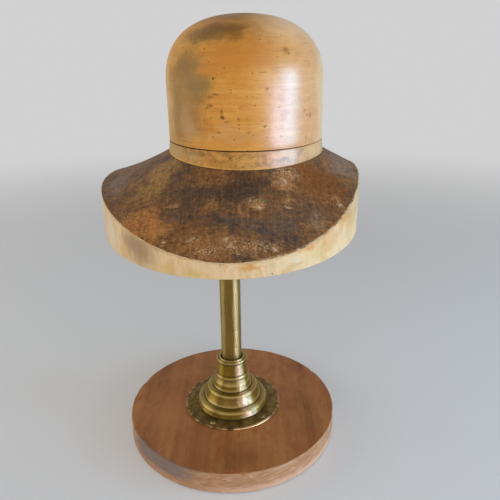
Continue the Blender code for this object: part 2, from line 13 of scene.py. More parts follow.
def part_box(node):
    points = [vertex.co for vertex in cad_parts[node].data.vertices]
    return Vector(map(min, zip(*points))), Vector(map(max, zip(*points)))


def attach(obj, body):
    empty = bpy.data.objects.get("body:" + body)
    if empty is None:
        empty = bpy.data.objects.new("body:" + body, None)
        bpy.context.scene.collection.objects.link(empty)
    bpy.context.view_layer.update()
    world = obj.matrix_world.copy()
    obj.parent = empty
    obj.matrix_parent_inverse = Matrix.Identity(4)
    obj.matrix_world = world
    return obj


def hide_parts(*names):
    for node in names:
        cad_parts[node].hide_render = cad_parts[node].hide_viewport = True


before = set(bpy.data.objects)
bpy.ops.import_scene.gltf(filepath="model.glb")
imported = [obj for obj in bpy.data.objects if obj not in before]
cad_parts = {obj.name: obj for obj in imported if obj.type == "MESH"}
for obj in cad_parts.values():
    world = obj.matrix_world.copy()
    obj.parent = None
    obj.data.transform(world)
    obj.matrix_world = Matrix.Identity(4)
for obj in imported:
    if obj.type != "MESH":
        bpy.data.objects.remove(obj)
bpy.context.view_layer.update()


# Felt pad
# A disc of dark green wool felt, cut by hand a little smaller than the board and glued
# under it, so that the stand marks no table. It also hides the nut of the tie rod.
MM = 0.001
FELT_GREEN = (0.03, 0.068, 0.045)
FELT_FLUFF = (0.085, 0.135, 0.1)
FELT_EDGE = 0.35 * MM
FELT_WANDER = 0.3 * MM
FELT_WAVES = 14.0
FELT_RIM = 0.9
WELD = 0.001 * MM
SHARP_DEGREES = 35.0
ROUND_SIDES = 192


class Value:
    """What a socket gives. A sum written with it adds Math nodes to its tree."""

    def __init__(self, graph, socket):
        self.graph = graph
        self.socket = socket

    def __add__(self, other):
        return self.graph.maths("ADD", self, other)

    def __radd__(self, other):
        return self.graph.maths("ADD", other, self)

    def __sub__(self, other):
        return self.graph.maths("SUBTRACT", self, other)

    def __rsub__(self, other):
        return self.graph.maths("SUBTRACT", other, self)

    def __mul__(self, other):
        return self.graph.maths("MULTIPLY", self, other)

    def __rmul__(self, other):
        return self.graph.maths("MULTIPLY", other, self)

    def __truediv__(self, other):
        return self.graph.maths("DIVIDE", self, other)

    def __pow__(self, other):
        return self.graph.maths("POWER", self, other)


class Graph:
    """A tree of nodes under way, for a shape or for a finish."""

    def __init__(self, tree):
        self.tree = tree

    def node(self, kind, settings=None, sockets=None, output=0):
        """Add a node, set it up, feed its sockets, and give one of its outputs."""
        made = self.tree.nodes.new(kind)
        for name, value in (settings or {}).items():
            setattr(made, name, value)
        for name, value in (sockets or {}).items():
            socket = made.inputs[name]
            if isinstance(value, Value):
                self.tree.links.new(value.socket, socket)
            elif socket.type == "RGBA":
                socket.default_value = (*value, 1.0)
            else:
                socket.default_value = value
        return Value(self, made.outputs[output]) if made.outputs else None

    def maths(self, operation, *numbers):
        """A Math node on numbers and on what sockets give."""
        return self.node("ShaderNodeMath", {"operation": operation}, dict(enumerate(numbers)))

    def parts(self, vector):
        """The x, y and z of a vector."""
        first = self.node("ShaderNodeSeparateXYZ", sockets={"Vector": vector})
        return [Value(self, output) for output in first.socket.node.outputs]


class Finish(Graph):
    """A material under way: its patterns, stains and wear, laid on from below."""

    def __init__(self, name, ground, fixed):
        self.material = bpy.data.materials.new(name)
        self.material.use_nodes = True
        super().__init__(self.material.node_tree)
        self.shader = self.tree.nodes["Principled BSDF"]
        for socket, value in {"Base Color": (*ground, 1.0), **fixed}.items():
            self.shader.inputs[socket].default_value = value
        self.place = self.node("ShaderNodeTexCoord", output="Object")
        self.x, self.y, self.z = self.parts(self.place)
        self.strayed = self.place
        self.colour = ground

    def from_axis(self):
        """The distance from the stem's axis."""
        return (self.x * self.x + self.y * self.y) ** 0.5

    def between(self, value, low, high):
        """0 at the low value and 1 at the high one, with a soft step between them."""
        sockets = {"Value": value, "From Min": low, "From Max": high}
        return self.node("ShaderNodeMapRange", {"interpolation_type": "SMOOTHSTEP"}, sockets)

    def scaled(self, size, seed, at=None):
        """Where a pattern is read, so that its patches have a size in mm in x, y and z."""
        sockets = {"Vector": at or self.place, "Location": (seed, seed, seed)}
        sockets["Scale"] = [1.0 / (length * MM) for length in size]
        return self.node("ShaderNodeMapping", sockets=sockets)

    def cloud(self, size, detail=3.0, rough=0.5, twist=0.0, seed=0.0, at=None):
        """Noise whose patches have a given size in mm in x, y and z."""
        sockets = {"Vector": self.scaled(size, seed, at), "Scale": 1.0, "Detail": detail}
        sockets |= {"Roughness": rough, "Distortion": twist}
        return self.node("ShaderNodeTexNoise", sockets=sockets)

    def near(self, centre, reach, core=0.0, turn=0.0):
        """1 at a place and 0 at its reach from it, both in mm, turned about z."""
        sockets = {
            "Vector": self.strayed,
            "Location": [length * MM for length in centre],
            "Rotation": (0.0, 0.0, math.radians(turn)),
            "Scale": [length * MM for length in reach],
        }
        placed = self.node("ShaderNodeMapping", {"vector_type": "TEXTURE"}, sockets)
        away = self.node("ShaderNodeVectorMath", {"operation": "LENGTH"}, {0: placed}, "Value")
        return self.between(away, 1.0, core)

    def stray(self, size, reach, detail=4.0):
        """Make the marks laid from here on wander by some mm, so that their outlines are ragged."""
        sockets = {"Vector": self.place, "Scale": 1.0 / (size * MM), "Detail": detail, "Roughness": 0.65}
        drift = self.node("ShaderNodeTexNoise", sockets=sockets, output="Color")
        channels = self.node("ShaderNodeSeparateColor", sockets={"Color": drift}).socket.node.outputs
        sockets = {axis: Value(self, channel) - 0.5 for axis, channel in zip("XYZ", channels)}
        drift = self.node("ShaderNodeCombineXYZ", sockets=sockets)
        sockets = {0: drift, 1: [reach * MM] * 3, 2: self.place}
        self.strayed = self.node("ShaderNodeVectorMath", {"operation": "MULTIPLY_ADD"}, sockets)

    def mix(self, factor, first, second):
        """The first colour at a factor of 0, and the second at 1."""
        sockets = {0: factor, 6: first, 7: second}
        return self.node("ShaderNodeMix", {"data_type": "RGBA"}, sockets, 2)

    def cover(self, share, tint):
        """Lay a tint over the colour so far, by a share from 0 to 1."""
        self.colour = self.mix(share, self.colour, tint)

    def stain(self, marks, core=0.0, through=None):
        """Lay marks on, each with its middle and its reach in mm, its tint and its strength."""
        laid = []
        for centre, reach, tint, strength in marks:
            mark = self.near(centre, reach, core)
            laid.append(through(mark) if through else mark)
            self.cover(laid[-1] * strength, tint)
        return laid

    def tone(self, amount):
        """Make the colour so far lighter or darker by a number."""
        sockets = {"Color": self.colour, "Value": amount}
        self.colour = self.node("ShaderNodeHueSaturation", sockets=sockets)

    def bump(self, height, depth, under=None):
        """Relief of a given depth in mm, over what lies under it."""
        sockets = {"Height": height, "Distance": depth * MM}
        if under:
            sockets["Normal"] = under
        return self.node("ShaderNodeBump", sockets=sockets)

    def lay(self, **sockets):
        """Feed the shader the colour and what else changes over it, and give the material."""
        for name, value in {"Base_Color": self.colour, **sockets}.items():
            self.tree.links.new(value.socket, self.shader.inputs[name.replace("_", " ")])
        return self.material


def tree_with(name, inputs):
    """A tree for a shape, with its named inputs and one output, and a way to read them."""
    tree = bpy.data.node_groups.new(name, "GeometryNodeTree")
    for label, kind in inputs.items():
        tree.interface.new_socket(label, in_out="INPUT", socket_type=f"NodeSocket{kind}")
    tree.interface.new_socket("Piece", in_out="OUTPUT", socket_type="NodeSocketGeometry")
    shape = Graph(tree)
    return shape, lambda label: shape.node("NodeGroupInput", output=label)


def end_tree(shape, skin, finish):
    """Close a tree with real geometry in its finish."""
    skin = shape.node("GeometryNodeRealizeInstances", sockets={"Geometry": skin})
    sockets = {"Geometry": skin, "Material": finish}
    skin = shape.node("GeometryNodeSetMaterial", sockets=sockets)
    shape.node("NodeGroupOutput", sockets={"Piece": skin})
    return shape.tree


def turning_tree():
    """Turns an outline of radius and height about the upright axis, round or oval.

    Curve to Mesh needs a circle to follow, so the outline goes round a small hub.
    """
    inputs = {"Outline": "Geometry", "Sides": "Int", "Stretch": "Vector"}
    inputs |= {"Lean": "Float", "Place": "Vector", "Finish": "Material"}
    shape, given = tree_with("turning", inputs)
    hub = 10.0 * MM
    outline = shape.node("GeometryNodeMeshToCurve", sockets={"Mesh": given("Outline")})
    upright = {"Translation": (-hub, 0.0, 0.0), "Rotation": (math.pi / 2, 0.0, 0.0)}
    outline = shape.node("GeometryNodeTransform", sockets={"Geometry": outline, **upright})
    sockets = {"Resolution": given("Sides"), "Radius": hub}
    circle = shape.node("GeometryNodeCurvePrimitiveCircle", sockets=sockets)
    sockets = {"Curve": circle, "Profile Curve": outline}
    skin = shape.node("GeometryNodeCurveToMesh", sockets=sockets)
    skin = shape.node("GeometryNodeFlipFaces", sockets={"Mesh": skin})
    sockets = {"Geometry": skin, "Distance": WELD}
    skin = shape.node("GeometryNodeMergeByDistance", sockets=sockets)
    sockets = {"Geometry": skin, "Scale": given("Stretch")}
    skin = shape.node("GeometryNodeTransform", sockets=sockets)
    height = shape.parts(shape.node("GeometryNodeInputPosition"))[2]
    lean = shape.node("ShaderNodeCombineXYZ", sockets={"X": height * given("Lean")})
    skin = shape.node("GeometryNodeSetPosition", sockets={"Geometry": skin, "Offset": lean})
    sockets = {"Geometry": skin, "Translation": given("Place")}
    skin = shape.node("GeometryNodeTransform", sockets=sockets)
    return end_tree(shape, skin, given("Finish"))


def linked(name, data):
    """A new object at the origin, with its mesh, lamp or lens."""
    made = bpy.data.objects.new(name, data)
    bpy.context.collection.objects.link(made)
    return made


def mesh_of(name, points, edges, faces):
    """A mesh of some points, with the edges or the faces between them."""
    mesh = bpy.data.meshes.new(name)
    mesh.from_pydata(points, edges, faces)
    return mesh


def plain(source):
    """Put a plain, smooth mesh in the place of an object and its modifiers."""
    view = bpy.context.evaluated_depsgraph_get()
    mesh = bpy.data.meshes.new_from_object(source.evaluated_get(view))
    mesh.shade_smooth()
    mesh.set_sharp_from_angle(angle=math.radians(SHARP_DEGREES))
    name = source.name
    bpy.data.objects.remove(source)
    return linked(name, mesh)


def shaped(name, tree, start, inputs):
    """Run a tree on a starting mesh and keep what it makes."""
    source = linked(name, start)
    step = source.modifiers.new("shape", "NODES")
    step.node_group = tree
    for socket in tree.interface.items_tree:
        if socket.name in inputs:
            step[socket.identifier] = inputs[socket.name]
    return plain(source)


turning = turning_tree()


def turned(name, outline, finish, sides=ROUND_SIDES, stretch=(1.0,) * 3, lean=0.0, place=(0.0,) * 3):
    """A piece turned from its outline, which runs from its underside out and up."""
    edges = [(index, index + 1) for index in range(len(outline) - 1)]
    if outline[0][0] > 0.0:
        edges.append((len(outline) - 1, 0))
    mesh = mesh_of(name, [(radius, 0.0, height) for radius, height in outline], edges, [])
    sizes = {"Sides": sides, "Stretch": stretch, "Lean": lean, "Place": place, "Finish": finish}
    return shaped(name, turning, mesh, sizes)


def arc(radius, height, size, start, end, steps=6):
    """Points on an arc about (radius, height), from one angle to another in degrees."""
    angles = [math.radians(start + (end - start) * step / steps) for step in range(steps + 1)]
    return [(radius + size * math.cos(angle), height + size * math.sin(angle)) for angle in angles]


def settle(piece, body, slot, *nodes):
    """Hang a piece on what it rides on and hide the nodes it stands for. The slot is not used."""
    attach(piece, body)
    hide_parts(*nodes)


low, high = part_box("felt_pad")
felt_radius = high.x
outline = [(0.0, low.z)]
outline += arc(felt_radius - FELT_EDGE, low.z + FELT_EDGE, FELT_EDGE, -90, 0)
outline += arc(felt_radius - FELT_EDGE, high.z - FELT_EDGE, FELT_EDGE, 0, 90)
outline.append((0.0, high.z))

wool = Finish("green_felt", FELT_GREEN, {"Sheen Weight": 0.3, "Sheen Roughness": 0.5, "Roughness": 0.95})
tufts = wool.cloud((0.9, 0.9, 0.5), 5.0, 0.7, 1.5)
matting = wool.cloud((14.0, 14.0, 14.0), 3.0, 0.6, 0.0, 2.0)
wool.cover(wool.between(tufts, 0.42, 0.72), FELT_FLUFF)
wool.tone(0.75 + 0.5 * matting)
wool.lay(Normal=wool.bump(tufts, 0.25))

felt = turned("felt", outline, wool.material)
for vertex in felt.data.vertices:
    if vertex.co.xy.length > FELT_RIM * felt_radius:
        wander = noise.noise(vertex.co.xy.to_3d().normalized() * FELT_WAVES) + 1.0
        vertex.co.xy *= 1.0 - wander * FELT_WANDER / felt_radius
settle(felt, "stand", "felt", "felt_pad")


# Base board
# A round board of reddish-brown walnut, turned square at the edge and waxed. Its sawn
# wall is paler, its arris is worn and chipped, and below it is recessed for a nut.
WALNUT_DARK = (0.17, 0.055, 0.013)
WALNUT_MID = (0.3, 0.105, 0.028)
WALNUT_LIGHT = (0.43, 0.18, 0.056)
WALNUT_RED = (0.34, 0.1, 0.03)
WALNUT_PORE = (0.1, 0.032, 0.008)
WALNUT_WALL = (0.46, 0.26, 0.13)
WALNUT_WALL_RED = (0.34, 0.155, 0.07)
WALNUT_WALL_PALE = (0.66, 0.42, 0.27)
WALNUT_GREY = (0.2, 0.15, 0.13)
WALNUT_BLEACHED = (0.68, 0.43, 0.27)
# Between which angles the worn patch of the edge starts and ends, in radians from +X
WORN_FROM = (-2.75, -2.5)
WORN_TO = (-1.8, -2.0)
BOARD_SIDES = 360
ARRIS = 0.5 * MM
ARRIS_REACH = 6.0 * MM
ARRIS_ROW = 0.4 * MM
ARRIS_WAVES = 9.0
CHIP_WAVES = 60.0
TOP_RING = 0.75
WALL_FROM = 1.6 * MM
WALL_TO = 0.7 * MM
ROD_CLEARANCE = 0.5 * MM
SEAT_GAP = 0.3 * MM
# Chips and wear of the edge: degrees round from +X, their spread, and their depth in mm
BASE_CHIPS = ((-83.5, 2.2, 2.6), (-12.5, 2.0, 2.2), (-127.0, 9.0, 1.6), (-141.0, 6.0, 1.2))
BASE_CHIPS += ((97.0, 1.5, 1.6), (31.0, 1.2, 1.2), (-58.0, 1.0, 1.0), (160.0, 1.8, 1.5), (-170.0, 1.4, 1.1))


def chipped(chips, degrees, ragged):
    """How deep the chips cut at an angle. Each has its middle, its spread and its depth."""
    loss = 0.0
    for middle, spread, depth in chips:
        away = (degrees - middle + 180.0) % 360.0 - 180.0
        loss += depth * MM * ragged * math.exp(-((away / spread) ** 2))
    return loss


def arris_loss(degrees):
    """How much of the board's upper edge is gone, by degrees round from +X."""
    place = Vector((math.cos(math.radians(degrees)), math.sin(math.radians(degrees)), 0.0))
    worn = ARRIS * (1.0 + 0.7 * noise.noise(place * ARRIS_WAVES))
    return worn + chipped(BASE_CHIPS, degrees, 1.0 + 0.5 * noise.noise(place * CHIP_WAVES))


low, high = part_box("base_disc")
base_top, base_radius = high.z, high.x
rod_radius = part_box("tie_rod")[1].x
rod_hole = rod_radius + ROD_CLEARANCE
recess_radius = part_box("base_washer")[1].x + ROD_CLEARANCE
recess_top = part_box("base_washer")[1].z + SEAT_GAP
rows = int(ARRIS_REACH / ARRIS_ROW)
outline = [(rod_hole, recess_top), (recess_radius, recess_top), (recess_radius, low.z)]
outline += arc(base_radius - ARRIS, low.z + ARRIS, ARRIS, -90, 0, 4)
outline += [(base_radius, base_top - ARRIS_ROW * row) for row in range(rows, -1, -1)]
outline += [(base_radius - ARRIS_ROW * row, base_top) for row in range(1, rows + 1)]
outline += [(base_radius * TOP_RING, base_top), (rod_hole, base_top)]

walnut = Finish("waxed_walnut", WALNUT_DARK, {"Specular IOR Level": 0.2})
radius = walnut.from_axis()
strips = walnut.cloud((30.0, 1400.0, 90.0), 2.0, 0.5, 0.3, 4.6)
bands = walnut.cloud((7.0, 330.0, 40.0), 4.0, 0.6, 0.6, 1.3)
fibres = walnut.cloud((1.1, 60.0, 6.0), 3.0, 0.65, 0.4, 5.0)
pores = walnut.cloud((0.6, 12.0, 0.8), 2.0, 0.5, 0.0, 8.0)
blotches = walnut.cloud((34.0, 50.0, 30.0), 4.0, 0.6, 0.4, 2.0)
figure = walnut.cloud((18.0, 30.0, 20.0), 6.0, 0.68, 0.9, 12.0)
walnut.cover(walnut.between(strips, 0.3, 0.64), WALNUT_LIGHT)
walnut.cover(walnut.between(figure, 0.46, 0.6) * 0.6, WALNUT_RED)
walnut.cover(walnut.between(figure, 0.45, 0.34) * 0.55, WALNUT_LIGHT)
walnut.cover(walnut.between(bands, 0.3, 0.7) * 0.4, WALNUT_MID)
walnut.tone(0.55 + 0.5 * fibres + 0.44 * blotches)
walnut.cover(walnut.between(pores, 0.6, 0.7) * 0.5, WALNUT_PORE)
blotched = walnut.between(blotches, 0.3, 0.6)
board_marks = (
    ((8, -104, 26), (60, 40, 9), WALNUT_DARK, 0.6),
    ((-20, -92, 26), (6, 45, 9), WALNUT_LIGHT, 0.45),
    ((-84, -4, 26), (60, 110, 9), WALNUT_LIGHT, 0.95),
    ((-64.6, 46.5, 26), (3.2, 2.2, 5), WALNUT_PORE, 0.9),
    ((-40, 60, 26), (70, 60, 9), WALNUT_LIGHT, 0.6),
    ((64, -40, 26), (26, 60, 9), WALNUT_MID, 0.5),
    ((90, 30, 26), (24, 90, 9), WALNUT_LIGHT, 0.7),
    ((88, 46, 26), (1.6, 1.6, 5), WALNUT_PORE, 0.8),
    ((30, 88, 26), (1.4, 1.8, 5), WALNUT_PORE, 0.7),
)
walnut.stain(board_marks, through=lambda mark: mark * blotched)
wall = walnut.between(radius, base_radius - WALL_FROM, base_radius - WALL_TO)
streaks = walnut.cloud((22.0, 22.0, 3.6), 6.0, 0.7, 1.2, 6.0)
face_colour, walnut.colour = walnut.colour, WALNUT_WALL_RED
walnut.cover(walnut.between(streaks, 0.34, 0.6), WALNUT_WALL)
walnut.cover(walnut.between(streaks, 0.56, 0.72), WALNUT_WALL_PALE)
walnut.tone(0.8 + 0.4 * blotches)
walnut.colour = walnut.mix(wall, face_colour, walnut.colour)
scuffs = walnut.cloud((9.0, 9.0, 4.0), 6.0, 0.7, 0.3, 3.0)
drift = scuffs - 0.5
around = walnut.maths("ARCTAN2", walnut.y, walnut.x) + 0.5 * drift
worn = walnut.between(around, *WORN_FROM) * walnut.between(around, *WORN_TO)
worn = worn * walnut.between(walnut.z + 14.0 * MM * drift, 6.0 * MM, 14.0 * MM)
worn = worn * walnut.between(radius + 12.0 * MM * drift, base_radius - 5.0 * MM, base_radius - 1.0 * MM)
walnut.cover(worn * 0.85, WALNUT_GREY)
bleached = walnut.between(walnut.z + 12.0 * MM * drift, 12.0 * MM, 4.0 * MM) * wall
bleached = bleached * walnut.between(walnut.x + 30.0 * MM * drift, -60.0 * MM, 30.0 * MM)
walnut.cover(bleached * 0.7, WALNUT_BLEACHED)
ground = walnut.bump(fibres + wall * streaks, 0.12)
walnut.lay(
    Roughness=0.36 + 0.16 * blotches + 0.2 * wall + 0.2 * worn,
    Normal=walnut.bump(pores, 0.05, ground),
)

board = turned("base_board", outline, walnut.material, BOARD_SIDES)
for vertex in board.data.vertices:
    across, up = vertex.co.xy.length, vertex.co.z
    if up < base_top - ARRIS_REACH or across < base_radius - ARRIS_REACH:
        continue
    short = arris_loss(math.degrees(math.atan2(vertex.co.y, vertex.co.x)))
    short -= base_radius - across + base_top - up
    if short > 0.0:
        vertex.co.xy *= 1.0 - short / 2 / across
        vertex.co.z -= short / 2
settle(board, "stand", "base_wood", "base_disc")


# Tie rod, nuts and washers
# Mild steel studding threaded at both ends, which clamps the board, the plate, the two
# plugs and the tube between its nuts. The nuts are chamfered, the washers punched.
STEEL = (0.42, 0.41, 0.4)
STEEL_DULL = (0.2, 0.17, 0.14)
PITCH = 1.25 * MM
THREAD_DEPTH = 0.6 * MM
THREAD_LENGTH = 24.0 * MM
GROOVE_SLOPE = 1.7
GROOVE_CREST = 0.35
ROWS_A_TURN = 6
ROD_SIDES = 32
SMALL_SIDES = 96
NUT_CHAMFER = 0.45 * MM
WASHER_EDGE = 0.2 * MM

steel = Finish("plain_steel", STEEL, {"Metallic": 1.0})
patches = steel.cloud((3.0, 3.0, 3.0), 5.0, 0.6)
steel.cover(steel.between(patches, 0.45, 0.7), STEEL_DULL)
steel.lay(Roughness=0.25 + 0.3 * patches, Normal=steel.bump(patches, 0.04))


def ringed(name, rings, finish):
    """A closed piece, skinned over rings of points that run from its underside up."""
    sides = len(rings[0])
    last = sides * (len(rings) - 1)
    faces = [tuple(reversed(range(sides)))]
    for low in range(0, last, sides):
        for side in range(sides):
            after = (side + 1) % sides
            faces.append((low + side, low + after, low + sides + after, low + sides + side))
    faces.append(tuple(range(last, last + sides)))
    mesh = mesh_of(name, [point for ring in rings for point in ring], [], faces)
    mesh.materials.append(finish)
    return plain(linked(name, mesh))


def prism(name, corners, low, high, finish):
    """A piece with upright sides on a flat outline, from one height to another."""
    return ringed(name, [[(x, y, height) for x, y in corners] for height in (low, high)], finish)


def thread_ring(height, low, high):
    """One ring of the rod, cut by the thread near the rod's ends."""
    from_end = min(height - low, high - height)
    cut = THREAD_DEPTH * min(1.0, max(0.0, (THREAD_LENGTH - from_end) / PITCH))
    taper = max(0.0, THREAD_DEPTH - from_end)
    ring = []
    for side in range(ROD_SIDES):
        angle = math.tau * side / ROD_SIDES
        turn = (height / PITCH - side / ROD_SIDES) % 1.0
        groove = min(1.0, max(0.0, GROOVE_SLOPE * abs(2.0 * turn - 1.0) - GROOVE_CREST))
        size = min(rod_radius - cut * groove, rod_radius - taper)
        ring.append((size * math.cos(angle), size * math.sin(angle), height))
    return ring


def part_of(piece, tool, way):
    """Keep what is left of a piece, or what it shares, with a tool used up on it."""
    step = piece.modifiers.new("cut", "BOOLEAN")
    step.operation = way
    step.solver = "EXACT"
    step.object = tool
    made = plain(piece)
    bpy.data.objects.remove(tool)
    return made


low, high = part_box("tie_rod")
heights = [low.z + PITCH / ROWS_A_TURN * row for row in range(int(THREAD_LENGTH / PITCH * ROWS_A_TURN))]
heights += [low.z + high.z - height for height in reversed(heights)]
rod = ringed("studding", [thread_ring(height, low.z, high.z) for height in heights], steel.material)
settle(rod, "stand", "steel", "tie_rod")

for node, name in (("base_nut", "lower_nut"), ("top_nut", "upper_nut")):
    low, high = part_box(node)
    corner, bore = high.x, rod_radius + SEAT_GAP
    flat = corner * math.cos(math.pi / 6) - NUT_CHAMFER / 2
    beyond = corner + NUT_CHAMFER
    slope = (beyond - flat) * math.tan(math.radians(30.0))
    outline = [(bore + NUT_CHAMFER, low.z), (flat, low.z), (beyond, low.z + slope)]
    outline += [(beyond, high.z - slope), (flat, high.z), (bore + NUT_CHAMFER, high.z)]
    outline += [(bore, high.z - NUT_CHAMFER), (bore, low.z + NUT_CHAMFER)]
    blank = turned(name, outline, steel.material, SMALL_SIDES)
    angles = [math.tau * side / 6 for side in range(6)]
    corners = [(corner * math.cos(angle), corner * math.sin(angle)) for angle in angles]
    hexagon = prism("hexagon", corners, low.z - SEAT_GAP, high.z + SEAT_GAP, steel.material)
    nut = part_of(blank, hexagon, "INTERSECT")
    settle(nut, "stand", "steel", node)


def punched(name, node, bore, edge, finish, steps):
    """A flat ring with rounded edges, as large as its node's box."""
    low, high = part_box(node)
    inner, outer = bore + edge, high.x - edge
    bottom, top = low.z + edge, high.z - edge
    outline = arc(inner, bottom, edge, 180, 270, steps) + arc(outer, bottom, edge, -90, 0, steps)
    outline += arc(outer, top, edge, 0, 90, steps) + arc(inner, top, edge, 90, 180, steps)
    return turned(name, outline, finish, SMALL_SIDES)


for node, name in (("base_washer", "lower_washer"), ("top_washer", "upper_washer")):
    washer = punched(name, node, rod_hole, WASHER_EDGE, steel.material, 3)
    settle(washer, "stand", "steel", node)


# Flange plate and its screws
# A flat brass plate with a rounded, rubbed rim, screwed to the board through five
# holes near its edge. The small round-headed screws are brass too, slotted and dull.
PLATE_BRASS = (0.23, 0.15, 0.05)
PLATE_DARK = (0.12, 0.075, 0.022)
# Rubbed rim, and the painted highlight on the rim's front-right
PLATE_RUBBED_AND_HIGHLIGHT = (0.85, 0.58, 0.32)
RUBBED_FROM = 3.2 * MM
RUBBED_TO = 1.4 * MM
SCREW_BRASS = (0.36, 0.27, 0.11)
SCREW_GRIME = (0.08, 0.055, 0.02)
SCREWS = [f"flange_screw_{index + 1}" for index in range(5)]
SCREW_SHANK = 1.9 * MM
# The head's radius and height, and its slot's width and depth
SCREW_HEAD = (3.4 * MM, 1.6 * MM)
SCREW_SLOT = (0.9 * MM, 0.8 * MM)
SCREW_SEED = 4
SCREW_SIDES = 48
DRILL_SIDES = 24


def profile_of(finish):
    """The distance from the axis and the height, which are the same all the way round."""
    return finish.node("ShaderNodeCombineXYZ", sockets={"X": finish.from_axis(), "Z": finish.z})


def turned_lines(finish, seed):
    """Fine lines round the axis, left by the turning tool and by polishing."""
    return finish.cloud((0.7, 1000.0, 0.7), 4.0, 0.7, 0.0, seed, profile_of(finish))


def from_front(finish, ragged, wander):
    """The angle round from the front in radians, more to the right, with a ragged limit."""
    return finish.maths("ARCTAN2", finish.x, -1.0 * finish.y) + wander * (ragged - 0.5)


def setting_tree():
    """Sets one piece at each of the marked places, each turned by its own amount."""
    inputs = {"Places": "Geometry", "Single": "Object", "Turn": "Float", "Seed": "Int"}
    shape, given = tree_with("setting", {**inputs, "Finish": "Material"})
    single = shape.node("GeometryNodeObjectInfo", sockets={"Object": given("Single")}, output="Geometry")
    sockets = {3: given("Turn"), "Seed": given("Seed")}
    turn = shape.node("FunctionNodeRandomValue", {"data_type": "FLOAT"}, sockets, 1)
    turn = shape.node("ShaderNodeCombineXYZ", sockets={"Z": turn})
    sockets = {"Points": given("Places"), "Instance": single, "Rotation": turn}
    skin = shape.node("GeometryNodeInstanceOnPoints", sockets=sockets)
    return end_tree(shape, skin, given("Finish"))


setting = setting_tree()


def set_at(name, single, places, finish, turn=0.0, seed=0):
    """Copies of one piece at several places, as one piece. The first one is used up."""
    inputs = {"Single": single, "Turn": turn, "Seed": seed, "Finish": finish}
    made = shaped(name, setting, mesh_of(name, places, [], []), inputs)
    bpy.data.objects.remove(single)
    return made


def middles(nodes, height):
    """The places of some upright nodes, at one height."""
    boxes = [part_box(node) for node in nodes]
    return [((low.x + high.x) / 2, (low.y + high.y) / 2, height) for low, high in boxes]


def slotted(screw, head_radius, head_top, finish):
    """Cut the driver's slot across a screw's head."""
    width, depth = SCREW_SLOT
    long = head_radius + SEAT_GAP
    corners = [(-long, -width / 2), (long, -width / 2), (long, width / 2), (-long, width / 2)]
    slot = prism("slot", corners, head_top - depth, head_top + depth, finish)
    return part_of(screw, slot, "DIFFERENCE")


def pilot_holes(radius, bottom, top, places):
    """A tool that bores one hole at each of some places."""
    outline = [(0.0, bottom), (radius, bottom), (radius, top), (0.0, top)]
    return set_at("holes", turned("drill", outline, None, DRILL_SIDES), places, None)


low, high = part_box("foot_flange")
flange_radius, edge = high.x, (high.z - low.z) / 2
screw_low, screw_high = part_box(SCREWS[0])
head_radius, head_height = SCREW_HEAD
screw_seat = screw_high.z - head_height
outline = [(rod_hole, low.z), *arc(flange_radius - edge, low.z + edge, edge, -90, 90, 12), (rod_hole, high.z)]

plate_brass = Finish("plate_brass", PLATE_DARK, {"Metallic": 1.0})
radius = plate_brass.from_axis()
lines = turned_lines(plate_brass, 2.0)
tarnish = plate_brass.cloud((9.0, 9.0, 9.0), 5.0, 0.65, 0.4)
plate_brass.cover(plate_brass.between(tarnish, 0.38, 0.62), PLATE_BRASS)
around = from_front(plate_brass, tarnish, 0.5)
# Rubbed rim: some rubbing all round, and a painted highlight on the rim's front-right
touched = plate_brass.between(around, 0.0, 0.3) * plate_brass.between(around, 0.95, 0.75)
rubbed = plate_brass.between(radius, flange_radius - RUBBED_FROM, flange_radius - RUBBED_TO)
rubbed = rubbed * (0.8 * touched + 0.3 * plate_brass.between(tarnish, 0.4, 0.62))
plate_brass.cover(rubbed, PLATE_RUBBED_AND_HIGHLIGHT)
plate_brass.tone(0.8 + 0.4 * lines)
plate_brass.lay(
    Roughness=0.42 + 0.3 * tarnish - 0.25 * rubbed,
    Normal=plate_brass.bump(lines, 0.03),
)
plate = turned("flange_plate", outline, plate_brass.material)
settle(plate, "stand", "brass", "foot_flange")

screw_brass = Finish("screw_brass", SCREW_BRASS, {"Metallic": 1.0})
grime = screw_brass.cloud((1.6, 1.6, 1.6), 4.0, 0.6)
screw_brass.cover(screw_brass.between(grime, 0.4, 0.65), SCREW_GRIME)
screw_brass.lay(Roughness=0.35 + 0.35 * grime, Normal=screw_brass.bump(grime, 0.05))
dome = (head_radius**2 + head_height**2) / (2 * head_height)
spread = math.degrees(math.asin(head_radius / dome))
outline = [(0.0, screw_low.z - screw_seat), (SCREW_SHANK, screw_low.z - screw_seat + SCREW_SHANK)]
outline += [(SCREW_SHANK, 0.0), *arc(0.0, head_height - dome, dome, 90 - spread, 90, 10)]
outline[-1] = (0.0, head_height)
screw = turned("screw", outline, screw_brass.material, SCREW_SIDES)
screw = slotted(screw, head_radius, head_height, screw_brass.material)
screw_places = middles(SCREWS, screw_seat)
screws = set_at("flange_screws", screw, screw_places, screw_brass.material, math.tau, SCREW_SEED)
settle(screws, "stand", "screw_brass", *SCREWS)


# Stepped cover
# Turned brass in three tiers below a beaded neck, aged to a satin olive gold. Dirt has
# gathered in the creases, and the shoulders and beads are rubbed bright.
BRASS = (0.34, 0.215, 0.026)
BRASS_BROWN = (0.25, 0.145, 0.018)
BRASS_DIRT = (0.06, 0.035, 0.01)
# Painted highlight, laid on the metal to the right of the front
BRASS_PAINTED_HIGHLIGHT = (0.66, 0.48, 0.29)
BRASS_CREST = (0.5, 0.385, 0.13)
# Painted dark reflection, laid on the front of the brass
BRASS_DARK_REFLECTION = (0.15, 0.085, 0.01)
